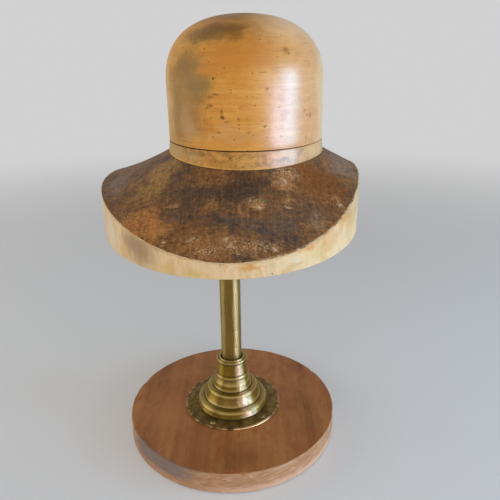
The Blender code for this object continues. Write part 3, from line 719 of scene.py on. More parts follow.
# How far dirt and rubbing reach, and how near they are at their full strength
CREASE_REACH = (2.2 * MM, 0.3 * MM)
CREST_REACH = (3.2 * MM, 0.4 * MM)
AGED_METAL = {"Metallic": 1.0, "Coat Weight": 0.3, "Coat Roughness": 0.3}
AGED_METAL |= {"Anisotropic": 0.95, "Anisotropic Rotation": 0.25}
NECK_WALL = 1.6 * MM
NECK_FLARE = 1.0 * MM
NECK_COVE = 2.0 * MM
NECK_HEIGHT = 16.0 * MM
LIP_PROUD = 0.9 * MM
LIP_HEIGHT = 3.4 * MM
BEAD_PROUD = 2.8 * MM
BEAD_HEIGHT = 6.0 * MM
COVER_WALL = 1.2 * MM
RING_LEDGE = 2.0 * MM
FOOT_BEAD = 1.1 * MM
WALL_STEPS = 10
# A fine line scored round the lowest tier: how deep, and at which step of its wall
SCORE = 0.3 * MM
SCORE_STEP = 6
# Each tier from the lowest one up: its shoulder's place out past what stands on it, how
# much its wall spreads, its height, and how wide and how high its shoulder is, all in mm
TIERS = ((7.8, 0.4, 9.7, 4.6, 3.8), (7.5, 3.8, 14.8, 2.6, 3.2), (4.3, 1.4, 11.6, 3.4, 6.5))

low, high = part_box("stepped_cover")
ring_low, ring_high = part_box("neck_ring")
mouth_radius = ring_high.x + SEAT_GAP
neck_radius = mouth_radius + NECK_WALL
foot, height = high.x, low.z
outline, bore, creases, crests = [], [], [], []
for tier in TIERS:
    out, flare, rise, shoulder, drop = [length * MM for length in tier]
    top = foot - flare
    creases.append((foot, height))
    outline += arc(foot - FOOT_BEAD, height + FOOT_BEAD, FOOT_BEAD, -90, 55, 5)
    start, end = height + 2.2 * FOOT_BEAD, height + rise - drop
    for step in range(WALL_STEPS):
        share = step / WALL_STEPS
        scored = SCORE if height == low.z and step == SCORE_STEP else 0.0
        wall = top + max(0.0, flare - FOOT_BEAD) * (1.0 - share) ** 1.6 - scored
        outline.append((wall, start + (end - start) * share))
    curve = arc(0.0, 0.0, 1.0, 0, 88, 12)
    outline += [(top - shoulder * (1.0 - across), end + drop * up) for across, up in curve]
    crests.append((top - shoulder * 0.3, height + rise - drop * 0.4))
    if height > low.z:
        crests.append((top + flare, height + 1.5 * FOOT_BEAD))
    inner = top - COVER_WALL
    bore += [(inner, height), (inner, height + rise - COVER_WALL)]
    height += rise
    foot = top - out
creases.append((neck_radius, height))
outline += arc(neck_radius + NECK_COVE * 0.8, height + NECK_COVE, NECK_COVE * 0.8, 262, 188, 6)
height += NECK_COVE
half = BEAD_HEIGHT / 2
creases += [(neck_radius, height), (neck_radius, height + BEAD_HEIGHT)]
crests.append((neck_radius + BEAD_PROUD, height + half))
outline += arc(neck_radius + BEAD_PROUD - half, height + half, half, -68, 68, 14)
height += BEAD_HEIGHT
neck_bottom = height
for step in range(WALL_STEPS + 1):
    share = step / WALL_STEPS
    outline.append((neck_radius + NECK_FLARE * (1.0 - share) ** 2, height + NECK_HEIGHT * share))
height += NECK_HEIGHT
half = LIP_HEIGHT / 2
creases.append((neck_radius, height))
crests.append((neck_radius + LIP_PROUD, height + half))
outline += arc(neck_radius + LIP_PROUD - half, height + half, half, -62, 90, 12)
ledge = ring_low.z - SEAT_GAP
outline += [(mouth_radius + FOOT_BEAD / 2, high.z), (mouth_radius, high.z - FOOT_BEAD / 2)]
outline += [(mouth_radius, ledge), (mouth_radius - RING_LEDGE, ledge)]
outline += [(mouth_radius - RING_LEDGE, neck_bottom), *reversed(bore)]


def along_rings(finish, rings, reach, core):
    """1 along rings round the axis, each a radius and a height, and 0 at their reach."""
    profile = profile_of(finish)
    found = None
    for across, up in rings:
        sockets = {0: profile, 1: (across, 0.0, up)}
        away = finish.node("ShaderNodeVectorMath", {"operation": "DISTANCE"}, sockets, "Value")
        mark = finish.between(away, reach, core)
        found = finish.maths("MAXIMUM", found, mark) if found else mark
    return found


def paint_front_dark_and_highlight(finish, ragged, bright):
    """A painted dark reflection at the front, and a painted highlight to the right of it."""
    around = from_front(finish, ragged, 0.6)
    front = finish.between(finish.maths("ABSOLUTE", around + 0.1), 0.85, 0.12)
    painted_highlight_band = finish.between(around, 0.2, 0.42) * finish.between(around, 0.95, 0.62)
    finish.cover(front * 0.6, BRASS_DARK_REFLECTION)
    finish.cover(painted_highlight_band * 0.85, bright)


def aged_brass(name, seed, creases, crests):
    """Old brass: turned lines and tarnish, dirt in its creases and rubbed crests."""
    brass = Finish(name, BRASS, AGED_METAL)
    lines = turned_lines(brass, seed)
    tarnish = brass.cloud((11.0, 11.0, 16.0), 5.0, 0.62, 0.5, seed)
    spots = brass.cloud((1.8, 1.8, 1.8), 3.0, 0.6, 0.0, seed)
    dirt = along_rings(brass, creases, *CREASE_REACH)
    rubbed = along_rings(brass, crests, *CREST_REACH)
    brass.cover(brass.between(tarnish, 0.36, 0.66), BRASS_BROWN)
    brass.tone(0.82 + 0.36 * lines)
    # Painted dark reflection at the front and painted highlight to the right of it
    paint_front_dark_and_highlight(brass, tarnish, BRASS_PAINTED_HIGHLIGHT)
    brass.cover(rubbed * (0.2 + 0.7 * spots), BRASS_CREST)
    brass.cover(dirt * (0.4 + 0.5 * spots), BRASS_DIRT)
    brass.cover(brass.between(spots, 0.66, 0.74) * 0.5, BRASS_DIRT)
    roughness = 0.34 + 0.16 * tarnish + 0.2 * dirt
    return brass.lay(Roughness=roughness, Normal=brass.bump(lines, 0.08))


cover = turned("tiered_cover", outline, aged_brass("cover_brass", 0.0, creases, crests))
settle(cover, "stand", "brass", "stepped_cover")


# Ring in the cover's mouth
# A turned brass ring with a rounded crest, pushed down into the neck of the cover to
# hold the tube in its middle. Only the crest shows, bright where it is touched.
RING_PROUD = 1.3 * MM
RING_CREST_INSET = 1.3 * MM

low, high = ring_low, ring_high
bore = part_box("stem_tube")[1].x + SEAT_GAP
shoulder = high.z - RING_PROUD
crest = high.x - RING_CREST_INSET
outline = [(bore, low.z), (high.x, low.z), (high.x, shoulder)]
outline += arc(crest, shoulder, RING_CREST_INSET, 10, 150, 12)
outline += [(bore, shoulder - RING_PROUD)]
ring_brass = aged_brass("ring_brass", 3.0, [(bore, shoulder - RING_PROUD)], [(crest, high.z)])
settle(turned("mouth_ring", outline, ring_brass), "stand", "brass", "neck_ring")


# Stem tube and its two plugs
# Drawn brass tube, one inch across, polished round and round and dulled by handling. A
# turned plug closes each end, and the clamping rod passes through both.
TUBE_BRASS = (0.34, 0.23, 0.055)
TUBE_BROWN = (0.24, 0.165, 0.035)
# Pale drawn streaks, and also the painted highlight to the right of the front
TUBE_PALE_AND_HIGHLIGHT = (0.5, 0.34, 0.15)
TUBE_SIDES = 128
TUBE_WALL = 1.2 * MM
TUBE_EDGE = 0.3 * MM
PLUG_CAP = 4.0 * MM
PLUG_CHAMFER = 0.5 * MM

low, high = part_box("stem_tube")
tube_radius, tube_bore = high.x, high.x - TUBE_WALL
outline = [(tube_bore, low.z), (tube_radius - TUBE_EDGE, low.z), (tube_radius, low.z + TUBE_EDGE)]
outline += [(tube_radius, high.z - TUBE_EDGE), (tube_radius - TUBE_EDGE, high.z), (tube_bore, high.z)]

tube_brass = Finish("tube_brass", TUBE_BRASS, AGED_METAL)
tarnish = tube_brass.cloud((9.0, 9.0, 34.0), 5.0, 0.6, 0.5, 1.0)
drawn = tube_brass.cloud((0.8, 0.8, 55.0), 3.0, 0.6, 0.0, 5.0)
spots = tube_brass.cloud((1.6, 1.6, 2.4), 3.0, 0.6, 0.0, 2.0)
rings = tube_brass.cloud((30.0, 30.0, 1.4), 3.0, 0.6, 0.2, 6.0)
polish = tube_brass.cloud((14.0, 14.0, 0.35), 2.0, 0.5, 0.0, 8.0)
tube_brass.cover(tube_brass.between(tarnish, 0.38, 0.66), TUBE_BROWN)
tube_brass.cover(tube_brass.between(drawn, 0.58, 0.75) * 0.45, TUBE_PALE_AND_HIGHLIGHT)
tube_brass.tone(0.85 + 0.3 * rings)
# Painted dark reflection at the front and painted highlight to the right of it
paint_front_dark_and_highlight(tube_brass, tarnish, TUBE_PALE_AND_HIGHLIGHT)
tube_brass.cover(tube_brass.between(spots, 0.64, 0.74) * 0.55, BRASS_DIRT)
above_ring = tube_brass.between(tube_brass.z, ring_high.z + 9.0 * MM, ring_high.z - 1.0 * MM)
tube_brass.cover(above_ring * 0.55, BRASS_DIRT)
tube_brass.lay(
    Roughness=0.3 + 0.16 * tarnish + 0.1 * spots,
    Normal=tube_brass.bump(polish, 0.12),
)
settle(turned("tube", outline, tube_brass.material, TUBE_SIDES), "stand", "brass", "stem_tube")

for node, name in (("foot_plug", "lower_plug"), ("top_plug", "upper_plug")):
    low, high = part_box(node)
    spigot = tube_bore - SEAT_GAP
    edge = PLUG_CHAMFER
    if node == "foot_plug":
        cap = low.z + PLUG_CAP
        outline = [(rod_hole, low.z), (high.x - edge, low.z), (high.x, low.z + edge)]
        outline += [(high.x, cap - edge), (high.x - edge, cap), (spigot, cap)]
        outline += [(spigot, high.z - edge), (spigot - edge, high.z), (rod_hole, high.z)]
    else:
        cap = high.z - PLUG_CAP
        outline = [(rod_hole, low.z), (spigot - edge, low.z), (spigot, low.z + edge)]
        outline += [(spigot, cap), (high.x, cap), (high.x, high.z - edge)]
        outline += [(high.x - edge, high.z), (rod_hole + edge, high.z), (rod_hole, high.z - edge)]
    plug_brass = aged_brass(f"{name}_brass", 7.0, [(rod_hole, high.z)], [(high.x, high.z)])
    settle(turned(name, outline, plug_brass, SMALL_SIDES), "stand", "brass", node)


# Slip washer
# A loose ring punched from waxed brown leather. It lies on the upper plug, and the block
# turns on it, which has polished its faces dark.
LEATHER = (0.13, 0.055, 0.028)
LEATHER_DARK = (0.045, 0.02, 0.012)
LEATHER_EDGE = 0.28 * MM
PEBBLE = 0.7 * MM
LEATHER_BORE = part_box("top_washer")[1].x + 2 * SEAT_GAP

leather = Finish("waxed_leather", LEATHER_DARK, {"Coat Weight": 0.2, "Coat Roughness": 0.4})
pebbles = leather.node("ShaderNodeTexVoronoi", sockets={"Vector": leather.place, "Scale": 1.0 / PEBBLE})
rub = leather.cloud((4.0, 4.0, 2.0), 4.0, 0.6)
leather.cover(leather.between(rub, 0.35, 0.65), LEATHER)
leather.tone(1.15 - 0.5 * pebbles)
leather.lay(Roughness=0.45 + 0.2 * rub, Normal=leather.bump(1.0 - pebbles, 0.08))
slip = punched("leather_washer", "slip_washer", LEATHER_BORE, LEATHER_EDGE, leather.material, 4)
settle(slip, "turntable", "washer_leather", "slip_washer")


# Brim block
# An oval of pale hardwood, sawn upright at the side and carved to a saddle on top, where
# steam, hot irons and dye have burnt it brown. It is bored below to sit on the stem.
BRIM_X = 4.6 * MM
BRIM_TURN = math.radians(1.1)
BRIM_HALF = (133.1 * MM, 184.8 * MM)
RIM_FRONT = 14.2 * MM
# How high the rim rises to the left and to the right, and the power of its curve
RIM_LEFT = (33.0 * MM, 1.8)
RIM_RIGHT = (42.0 * MM, 2.8)
HOLLOW_LEFT = 2.6 * MM
HOLLOW_RIGHT = 0.2 * MM
CROWN_X = 20.9 * MM
CROWN_HALF = (79.1 * MM, 109.8 * MM)
COLLAR_FLARE = 1.2 * MM
FOOT_HALF = [half + COLLAR_FLARE for half in CROWN_HALF]
FOOT_FRONT = 70.7 * MM
FOOT_RISE = 3.9 * MM
SEAT_FLAT = 0.75
SEAT_SHARES = (0.97, 0.94, 0.91, 0.88, 0.85, 0.82, 0.79, SEAT_FLAT)
RUNNING_GAP = 0.4 * MM
NUT_POCKET_MARGIN = 1.7 * MM
NUT_POCKET_SPARE = 5.9 * MM
SOCKET_CHAMFER = 1.2 * MM
OVAL_SIDES = 400
PHIS = [math.tau * side / OVAL_SIDES for side in range(OVAL_SIDES)]
TOP_ROWS = 64
SIDE_ROWS = 14
ARRIS_ROWS = 5
RIM_WEAR = 0.45 * MM
RIM_WAVES = (16.0, 70.0, 110.0)
TOP_UNEVEN = 0.22 * MM
# The sizes of the top's unevenness, and how steeply it fades at the collar and the rim
UNEVEN_SIZES = (26.0 * MM, 9.0 * MM)
UNEVEN_FADES = (12.0, 20.0)
# Chips out of the rim: degrees round from the front, their spread, and their depth in mm
RIM_CHIPS = ((-112.0, 1.3, 1.8), (-118.0, 0.9, 1.2), (-127.0, 2.0, 1.6), (-135.0, 1.0, 1.3))
RIM_CHIPS += ((-52.0, 1.2, 0.9), (-33.0, 0.9, 0.8), (61.0, 0.7, 1.4), (64.5, 0.5, 0.9), (12.0, 0.8, 0.7))
RIM_CHIPS += ((140.0, 1.5, 1.5), (171.0, 1.0, 1.1), (96.0, 0.8, 0.9), (-88.0, 1.1, 1.0), (-165.0, 1.4, 1.2))

brim_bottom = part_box("brim_block")[0].z


def oval_point(phi, centre, half, turn=0.0):
    """Where an oval is at the angle phi, from 0 at the front on towards the right."""
    across, along = half[0] * math.sin(phi), -half[1] * math.cos(phi)
    x = centre + across * math.cos(turn) - along * math.sin(turn)
    return x, across * math.sin(turn) + along * math.cos(turn)


def oval(centre, half, height, turn=0.0):
    """A ring of points on an oval, each at the height for its phi."""
    return [(*oval_point(phi, centre, half, turn), height(phi)) for phi in PHIS]


def rim_height(phi):
    """The height of the saddle's edge, which rises to both sides by different curves."""
    across = math.sin(phi)
    rise, power = RIM_LEFT if across < 0.0 else RIM_RIGHT
    return brim_bottom + RIM_FRONT + rise * abs(across) ** power


def foot_height(phi):
    """The height at which the collar meets the brim."""
    return brim_bottom + FOOT_FRONT + FOOT_RISE * math.sin(phi) ** 2


def rim_loss(phi):
    """How much of the rim's arris is worn or chipped away."""
    place = Vector((math.sin(phi), math.cos(phi), 0.0))
    slow, quick, finest = [noise.noise(place * waves) for waves in RIM_WAVES]
    worn = RIM_WEAR * (1.0 + 0.8 * slow + 2.5 * max(0.0, quick - 0.25))
    return worn + chipped(RIM_CHIPS, math.degrees(phi), 1.0 + 0.6 * finest)


def side_ring(share):
    """A ring of the upright side, at a share of its height below the worn arris."""
    def height(phi):
        return brim_bottom + RIM_WEAR + (rim_height(phi) - rim_loss(phi) - brim_bottom - RIM_WEAR) * share
    return oval(BRIM_X, BRIM_HALF, height, BRIM_TURN)


def top_point(phi, out, lost=0.0, sunk=0.0):
    """A point of the top: out runs from 0 at the collar to 1 at the rim."""
    lean = (1.0 + math.sin(phi)) / 2
    hollow = HOLLOW_LEFT + (HOLLOW_RIGHT - HOLLOW_LEFT) * lean
    centre = CROWN_X + (BRIM_X - CROWN_X) * out
    half = [foot + (rim - lost - foot) * out for foot, rim in zip(FOOT_HALF, BRIM_HALF)]
    x, y = oval_point(phi, centre, half, BRIM_TURN * out)
    z = foot_height(phi) + (rim_height(phi) - foot_height(phi)) * out - hollow * math.sin(math.pi * out)
    broad, small = UNEVEN_SIZES
    uneven = 1.0 + noise.noise(Vector((x, y, 0.0)) / broad)
    uneven += 0.4 * noise.noise(Vector((x, y, 9.0)) / small)
    uneven *= min(1.0, out * UNEVEN_FADES[0]) * min(1.0, (1.0 - out) * UNEVEN_FADES[1])
    return x, y, z - sunk - TOP_UNEVEN * uneven


def seat_ring(share, lift):
    """A ring of the flat seat under the collar, at a share of the collar's foot."""
    def height(phi):
        blend = max(0.0, (share - SEAT_FLAT) / (1.0 - SEAT_FLAT))
        flat = brim_bottom + FOOT_FRONT
        return flat + (foot_height(phi) - flat) * blend * blend * (3.0 - 2.0 * blend) + lift
    return oval(CROWN_X, [half * share for half in FOOT_HALF], height)


def brim_clouds(finish):
    """A ragged cloud and a fine one, the same in both finishes, so that these meet at the rim."""
    ragged = finish.cloud((15.0, 11.0, 11.0), 8.0, 0.72, 0.5, 6.1)
    return ragged, finish.cloud((3.4, 3.0, 3.0), 6.0, 0.75, 0.2, 3.3)


def across_brim(finish):
    """How far across and along the brim's oval, each from -1 to 1."""
    sockets = {"Vector": finish.place, "Location": (BRIM_X, 0.0, 0.0)}
    sockets |= {"Rotation": (0.0, 0.0, BRIM_TURN), "Scale": (*BRIM_HALF, 1.0)}
    placed = finish.node("ShaderNodeMapping", {"vector_type": "TEXTURE"}, sockets)
    return finish.parts(placed)[:2]


SIDE_CREAM = (0.64, 0.42, 0.19)
SIDE_PALE = (0.74, 0.56, 0.32)
SIDE_TAN = (0.5, 0.31, 0.13)
SIDE_ORANGE = (0.6, 0.28, 0.075)
SIDE_YELLOW = (0.6, 0.41, 0.12)
# Grey stain, and also painted shade on the left front of the side
SIDE_GREY_AND_SHADE = (0.34, 0.22, 0.12)
# Pale ash stain, and also painted light at the far left of the side
SIDE_ASH_AND_LIGHT = (0.68, 0.6, 0.46)
SIDE_SCORCH = (0.2, 0.1, 0.04)
# How far below the rim the burnt brown bleeds into the side
BLEED = (2.4 * MM, 0.4 * MM)
sawn = Finish("sawn_hardwood", SIDE_CREAM, {"Specular IOR Level": 0.15})
ragged, fine = brim_clouds(sawn)
grain = sawn.cloud((26.0, 26.0, 5.0), 4.0, 0.6, 0.6, 2.0)
drips = sawn.cloud((16.0, 16.0, 34.0), 5.0, 0.62, 0.5, 4.0)
streaks = sawn.cloud((1.8, 1.8, 40.0), 4.0, 0.65, 0.2, 7.0)
sawn.cover(sawn.between(drips, 0.36, 0.56) * 0.7, SIDE_PALE)
sawn.cover(sawn.between(drips, 0.54, 0.7) * 0.5, SIDE_TAN)
sawn.cover(sawn.between(ragged, 0.55, 0.68) * 0.5, SIDE_ORANGE)
over = across_brim(sawn)[0]
right = sawn.between(over, -0.02, 0.02)
away = sawn.maths("ABSOLUTE", over)
rise_left, rise_right = RIM_LEFT[0] * away ** RIM_LEFT[1], RIM_RIGHT[0] * away ** RIM_RIGHT[1]
rim = brim_bottom + RIM_FRONT + rise_left + right * (rise_right - rise_left)
below_rim = rim - sawn.z + 9.0 * MM * (ragged - 0.55) + 3.0 * MM * (fine - 0.5)
sawn.cover(sawn.between(below_rim, *BLEED) * 0.75, SIDE_TAN)
sawn.stray(7.0, 16.0, 6.0)
side_marks = (
    # The next two marks are painted light, pale at the far left of the side
    ((-126, -60, 300), (20, 60, 40), SIDE_ASH_AND_LIGHT, 0.9),
    ((-104, -112, 288), (20, 26, 26), SIDE_ASH_AND_LIGHT, 0.7),
    # The next two marks are painted shade, darker on the left front of the side
    ((-66, -154, 288), (34, 24, 22), SIDE_GREY_AND_SHADE, 0.85),
    ((-78, -144, 292), (26, 20, 12), SIDE_GREY_AND_SHADE, 0.6),
    ((-71, -150.5, 280), (1.4, 2.4, 7), SIDE_GREY_AND_SHADE, 0.8),
    ((25, -183, 283), (17, 8, 5), SIDE_ORANGE, 0.95),
    ((-20, -181, 277.5), (12, 8, 5), SIDE_YELLOW, 0.8),
    ((-46, -172, 278), (16, 10, 6), SIDE_YELLOW, 0.5),
    ((84, -152, 284), (40, 26, 12), SIDE_YELLOW, 0.45),
    ((72, -160, 291), (12, 12, 5), SIDE_ORANGE, 0.85),
    ((92, -142, 292), (30, 26, 14), SIDE_ORANGE, 0.4),
    ((106, -118, 303), (18, 20, 8), SIDE_ORANGE, 0.9),
    ((112, -108, 303), (8, 14, 7), SIDE_TAN, 0.7),
    ((60, -166, 279), (16, 10, 4), SIDE_TAN, 0.5),
    ((116, -84, 304), (24, 44, 26), SIDE_TAN, 0.65),
    ((110, -100, 296), (16, 28, 12), SIDE_ORANGE, 0.55),
    ((60, -166, 283), (10, 10, 5), SIDE_ASH_AND_LIGHT, 0.5),
    ((41.6, -178.1, 275.8), (1.6, 3.0, 1.6), SIDE_SCORCH, 0.9),
    ((2, -184, 284.5), (2.4, 4.0, 1.6), SIDE_SCORCH, 0.6),
    ((-120, 60, 300), (30, 60, 20), SIDE_TAN, 0.5),
    ((60, 160, 290), (40, 20, 12), SIDE_ORANGE, 0.5),
)
sawn.stain(side_marks, 0.1)
sawn.tone(0.76 + 0.08 * grain + 0.12 * drips + 0.24 * streaks)
sawn.lay(
    Roughness=0.54 + 0.3 * fine,
    Normal=sawn.bump(grain + 0.5 * streaks, 0.1),
)

BRIM_BROWN = (0.255, 0.115, 0.036)
BRIM_BLACK = (0.11, 0.065, 0.04)
BRIM_DARK = (0.055, 0.035, 0.026)
BRIM_UMBER = (0.14, 0.08, 0.042)
BRIM_RUST = (0.42, 0.19, 0.06)
BRIM_RED = (0.22, 0.075, 0.012)
BRIM_EMBER = (0.5, 0.2, 0.05)
BRIM_ORANGE = (0.5, 0.24, 0.08)
BRIM_OCHRE = (0.42, 0.235, 0.06)
BRIM_OLIVE = (0.2, 0.14, 0.06)
BRIM_SLATE = (0.14, 0.095, 0.07)
# A mauve stain, and also a painted sheen at the far left and far right of the top
BRIM_MAUVE_AND_SHEEN = (0.3, 0.19, 0.125)
BRIM_FLECK = (0.72, 0.52, 0.3)
burnt = Finish("burnt_hardwood", BRIM_BLACK, {"Specular IOR Level": 0.15, "Coat Roughness": 0.35})
smoke = burnt.cloud((46.0, 40.0, 40.0), 6.0, 0.6, 0.4, 1.7)
rust, fine = brim_clouds(burnt)
grain = burnt.cloud((1.9, 30.0, 30.0), 4.0, 0.7, 0.2, 9.0)
wiped = burnt.cloud((40.0, 2.6, 2.6), 4.0, 0.7, 0.3, 5.0)
spots = burnt.cloud((7.0, 6.0, 6.0), 7.0, 0.75, 0.6, 4.4)
burnt.cover(burnt.between(0.6 * smoke + 0.4 * rust, 0.38, 0.54), BRIM_BROWN)
burnt.cover(burnt.between(rust, 0.52, 0.68) * 0.6, BRIM_RUST)
burnt.stray(26.0, 60.0, 6.0)
scorch_and_sheen_marks = (
    # The next two marks are a painted sheen at the far left and far right of the top
    ((-104, -60, 322), (26, 60, 30), BRIM_MAUVE_AND_SHEEN, 0.85),
    ((116, -34, 336), (26, 56, 30), BRIM_MAUVE_AND_SHEEN, 0.85),
    ((-56, -70, 334), (36, 44, 28), BRIM_OCHRE, 0.7),
    ((-66, -96, 328), (30, 34, 24), BRIM_OCHRE, 0.85),
    ((-64, -142, 304), (46, 34, 26), BRIM_EMBER, 1.0),
    ((-48, -150, 302), (20, 12, 12), BRIM_ORANGE, 0.5),
    ((-78, -128, 302), (26, 20, 14), BRIM_OCHRE, 0.6),
    ((-16, -128, 322), (74, 30, 26), BRIM_UMBER, 0.75),
    ((44, -140, 314), (50, 20, 20), BRIM_UMBER, 0.5),
    ((15, -122, 330), (46, 30, 26), BRIM_DARK, 0.7),
    ((-34, -140, 312), (24, 12, 16), BRIM_SLATE, 0.5),
    ((-20, -120, 328), (30, 16, 18), BRIM_DARK, 0.5),
    ((48, -152, 306), (34, 16, 18), BRIM_SLATE, 0.45),
    ((72, -128, 312), (34, 24, 22), BRIM_BLACK, 0.55),
    ((84, -134, 302), (20, 14, 12), BRIM_MAUVE_AND_SHEEN, 0.5),
    ((6, -142, 316), (34, 14, 16), BRIM_RUST, 0.6),
    ((88, -92, 325), (56, 54, 36), BRIM_RED, 1.0),
    ((54, -116, 333), (18, 15, 15), BRIM_ORANGE, 0.6),
    ((8, -170, 296), (80, 16, 16), BRIM_RUST, 0.55),
    ((14, -152, 308), (50, 12, 14), BRIM_SLATE, 0.6),
    ((-62, 95, 332), (44, 56, 32), BRIM_RUST, 0.7),
    ((70, 110, 320), (44, 40, 30), BRIM_BLACK, 0.6),
    ((10, 150, 312), (50, 24, 24), BRIM_OLIVE, 0.6),
)
burnt.stain(scorch_and_sheen_marks, through=lambda mark: burnt.between(mark + 0.5 * (rust - 0.5), 0.05, 0.75))
burnt.stray(5.0, 13.0, 6.0)
flecks = (
    ((30, -138, 321), (14, 6, 8), BRIM_ORANGE, 0.7),
    ((31, -140, 320), (7, 2, 5), BRIM_FLECK, 0.6),
    ((23, -135, 323), (5, 2.4, 5), BRIM_FLECK, 0.35),
    ((36, -133, 324), (8, 4, 6), BRIM_OLIVE, 0.8),
    ((57, -135, 318), (5, 2, 5), BRIM_FLECK, 0.6),
    ((53, -113, 335.5), (6, 5, 6), BRIM_FLECK, 0.55),
    ((53, -119, 331), (6, 4, 6), BRIM_ORANGE, 0.8),
    ((-42, -129, 318), (10, 4, 7), BRIM_ORANGE, 0.75),
    ((-39, -131, 317), (4, 2, 5), BRIM_FLECK, 0.7),
    ((56, -129, 322), (9, 3, 7), BRIM_ORANGE, 0.6),
    ((-60, -118, 314), (18, 3, 8), BRIM_ORANGE, 0.5),
    ((-23, -165, 299), (9, 1.3, 4), BRIM_FLECK, 0.75),
    ((-46, -164, 297), (5, 3, 5), BRIM_ORANGE, 0.85),
    ((-45, -165, 297), (2.2, 1.6, 4), BRIM_FLECK, 0.7),
    ((5, -166, 299), (7, 2.6, 5), BRIM_FLECK, 0.85),
    ((8, -171, 296), (2.6, 4, 5), BRIM_FLECK, 0.5),
    ((-8, -178, 292), (18, 7, 8), BRIM_ORANGE, 0.35),
    ((44.6, -170.7, 292.8), (4.6, 3.0, 4), BRIM_FLECK, 0.95),
    ((104.4, -110.8, 312.4), (3.4, 3.4, 4), BRIM_FLECK, 0.9),
    ((103, -104, 315), (3.0, 9, 8), BRIM_ORANGE, 0.7),
    ((-88, -132, 303), (10, 5, 8), BRIM_ORANGE, 0.7),
    ((-40, 140, 318), (22, 6, 8), BRIM_ORANGE, 0.7),
    ((60, 60, 330), (12, 18, 8), BRIM_OLIVE, 0.7),
)
burnt.stain(flecks, 0.15)
burnt.cover(burnt.between(spots, 0.54, 0.64) * 0.65, BRIM_DARK)
burnt.cover(burnt.between(spots, 0.44, 0.34) * 0.4, BRIM_ORANGE)
amount = 0.54 + 0.52 * burnt.between(fine, 0.36, 0.64)
amount = amount * (0.84 + 0.32 * burnt.between(grain, 0.35, 0.65))
burnt.tone(amount * (0.9 + 0.2 * burnt.between(wiped, 0.35, 0.65)))
crumbs = burnt.cloud((1.5, 1.3, 1.3), 1.0, 0.5, 0.8, 2.0)
crumbs = burnt.between(crumbs, 0.56, 0.64)
crumb_marks = (
    ((-10, -176, 294), (16, 9, 12), BRIM_FLECK, 0.8),
    ((12, -172, 295), (26, 13, 14), BRIM_FLECK, 0.65),
    ((34, -170, 294), (26, 12, 12), BRIM_FLECK, 0.5),
    ((56, -104, 341), (24, 12, 10), BRIM_FLECK, 0.9),
    ((30, -136, 322), (14, 7, 7), BRIM_FLECK, 0.5),
    ((-10, -114, 335), (34, 6, 8), BRIM_FLECK, 0.25),
    ((-84, -124, 306), (30, 22, 16), BRIM_FLECK, 0.3),
    ((98, -108, 316), (20, 20, 14), BRIM_FLECK, 0.35),
    ((0, 60, 330), (120, 90, 40), BRIM_FLECK, 0.35),
)
burnt.stain(crumb_marks, through=lambda mark: crumbs * mark)
over, back = across_brim(burnt)
# Pale arris: worn wood on the steep edge rows all round, and a painted highlight along the right half of the
# rim
arris = burnt.between(over * over + back * back, 0.979, 0.99) * burnt.between(over, 0.05, 0.35)
facing_up = burnt.parts(burnt.node("ShaderNodeNewGeometry", output="Normal"))[2]
arris = burnt.maths("MAXIMUM", arris * 0.8, burnt.between(facing_up, 0.72, 0.4))
burnt.cover(arris * burnt.between(rust, 0.62, 0.46), SIDE_PALE)
burnt.lay(
    Roughness=0.42 + 0.3 * fine,
    Coat_Weight=burnt.between(smoke, 0.35, 0.65) * 0.06,
    Normal=burnt.bump(fine, 0.3, burnt.bump(grain, 0.12)),
)

losses = [rim_loss(phi) for phi in PHIS]
rings = [oval(BRIM_X, [half - RIM_WEAR for half in BRIM_HALF], lambda phi: brim_bottom, BRIM_TURN)]
rings += [side_ring(row / SIDE_ROWS) for row in range(SIDE_ROWS + 1)]
for row in range(1, ARRIS_ROWS + 1):
    angle = row / ARRIS_ROWS * math.pi / 2
    inward, down = 1.0 - math.cos(angle), 1.0 - math.sin(angle)
    rings.append([top_point(phi, 1.0, loss * inward, loss * down) for phi, loss in zip(PHIS, losses)])
for row in range(1, TOP_ROWS + 1):
    out = 1.0 - row / TOP_ROWS
    rings.append([top_point(phi, out, loss * out**8) for phi, loss in zip(PHIS, losses)])
rings += [seat_ring(share, 0.0) for share in SEAT_SHARES]
brim = ringed("brim_oval", rings, sawn.material)
brim.data.materials.append(burnt.material)
for face in brim.data.polygons:
    face.material_index = int(face.index > (SIDE_ROWS + 1) * OVAL_SIDES)

socket_radius, socket_top = tube_radius + RUNNING_GAP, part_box("slip_washer")[1].z + SEAT_GAP
pocket_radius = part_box("top_nut")[1].x + NUT_POCKET_MARGIN
pocket_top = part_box("tie_rod")[1].z + NUT_POCKET_SPARE
edge = SOCKET_CHAMFER
outline = [(0.0, brim_bottom - edge), (socket_radius + 2 * edge, brim_bottom - edge)]
outline += [(socket_radius, brim_bottom + edge), (socket_radius, socket_top)]
outline += [(pocket_radius, socket_top), (pocket_radius, pocket_top), (0.0, pocket_top)]
brim = part_of(brim, turned("socket", outline, sawn.material, SMALL_SIDES), "DIFFERENCE")

COLLAR_SCREWS = [f"collar_screw_{index + 1}" for index in range(4)]
# The radius of the shank and of the head
COLLAR_SCREW = (2.2 * MM, 4.4 * MM)
screw_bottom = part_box(COLLAR_SCREWS[0])[0].z
screw_shank, screw_head = COLLAR_SCREW
seat = brim_bottom + FOOT_FRONT
screw_places = middles(COLLAR_SCREWS, 0.0)
drills = pilot_holes(screw_shank + SEAT_GAP, screw_bottom - SEAT_GAP, seat + SEAT_GAP * 2, screw_places)
brim = part_of(brim, drills, "DIFFERENCE")
settle(brim, "block", "brim_wood", "brim_block")


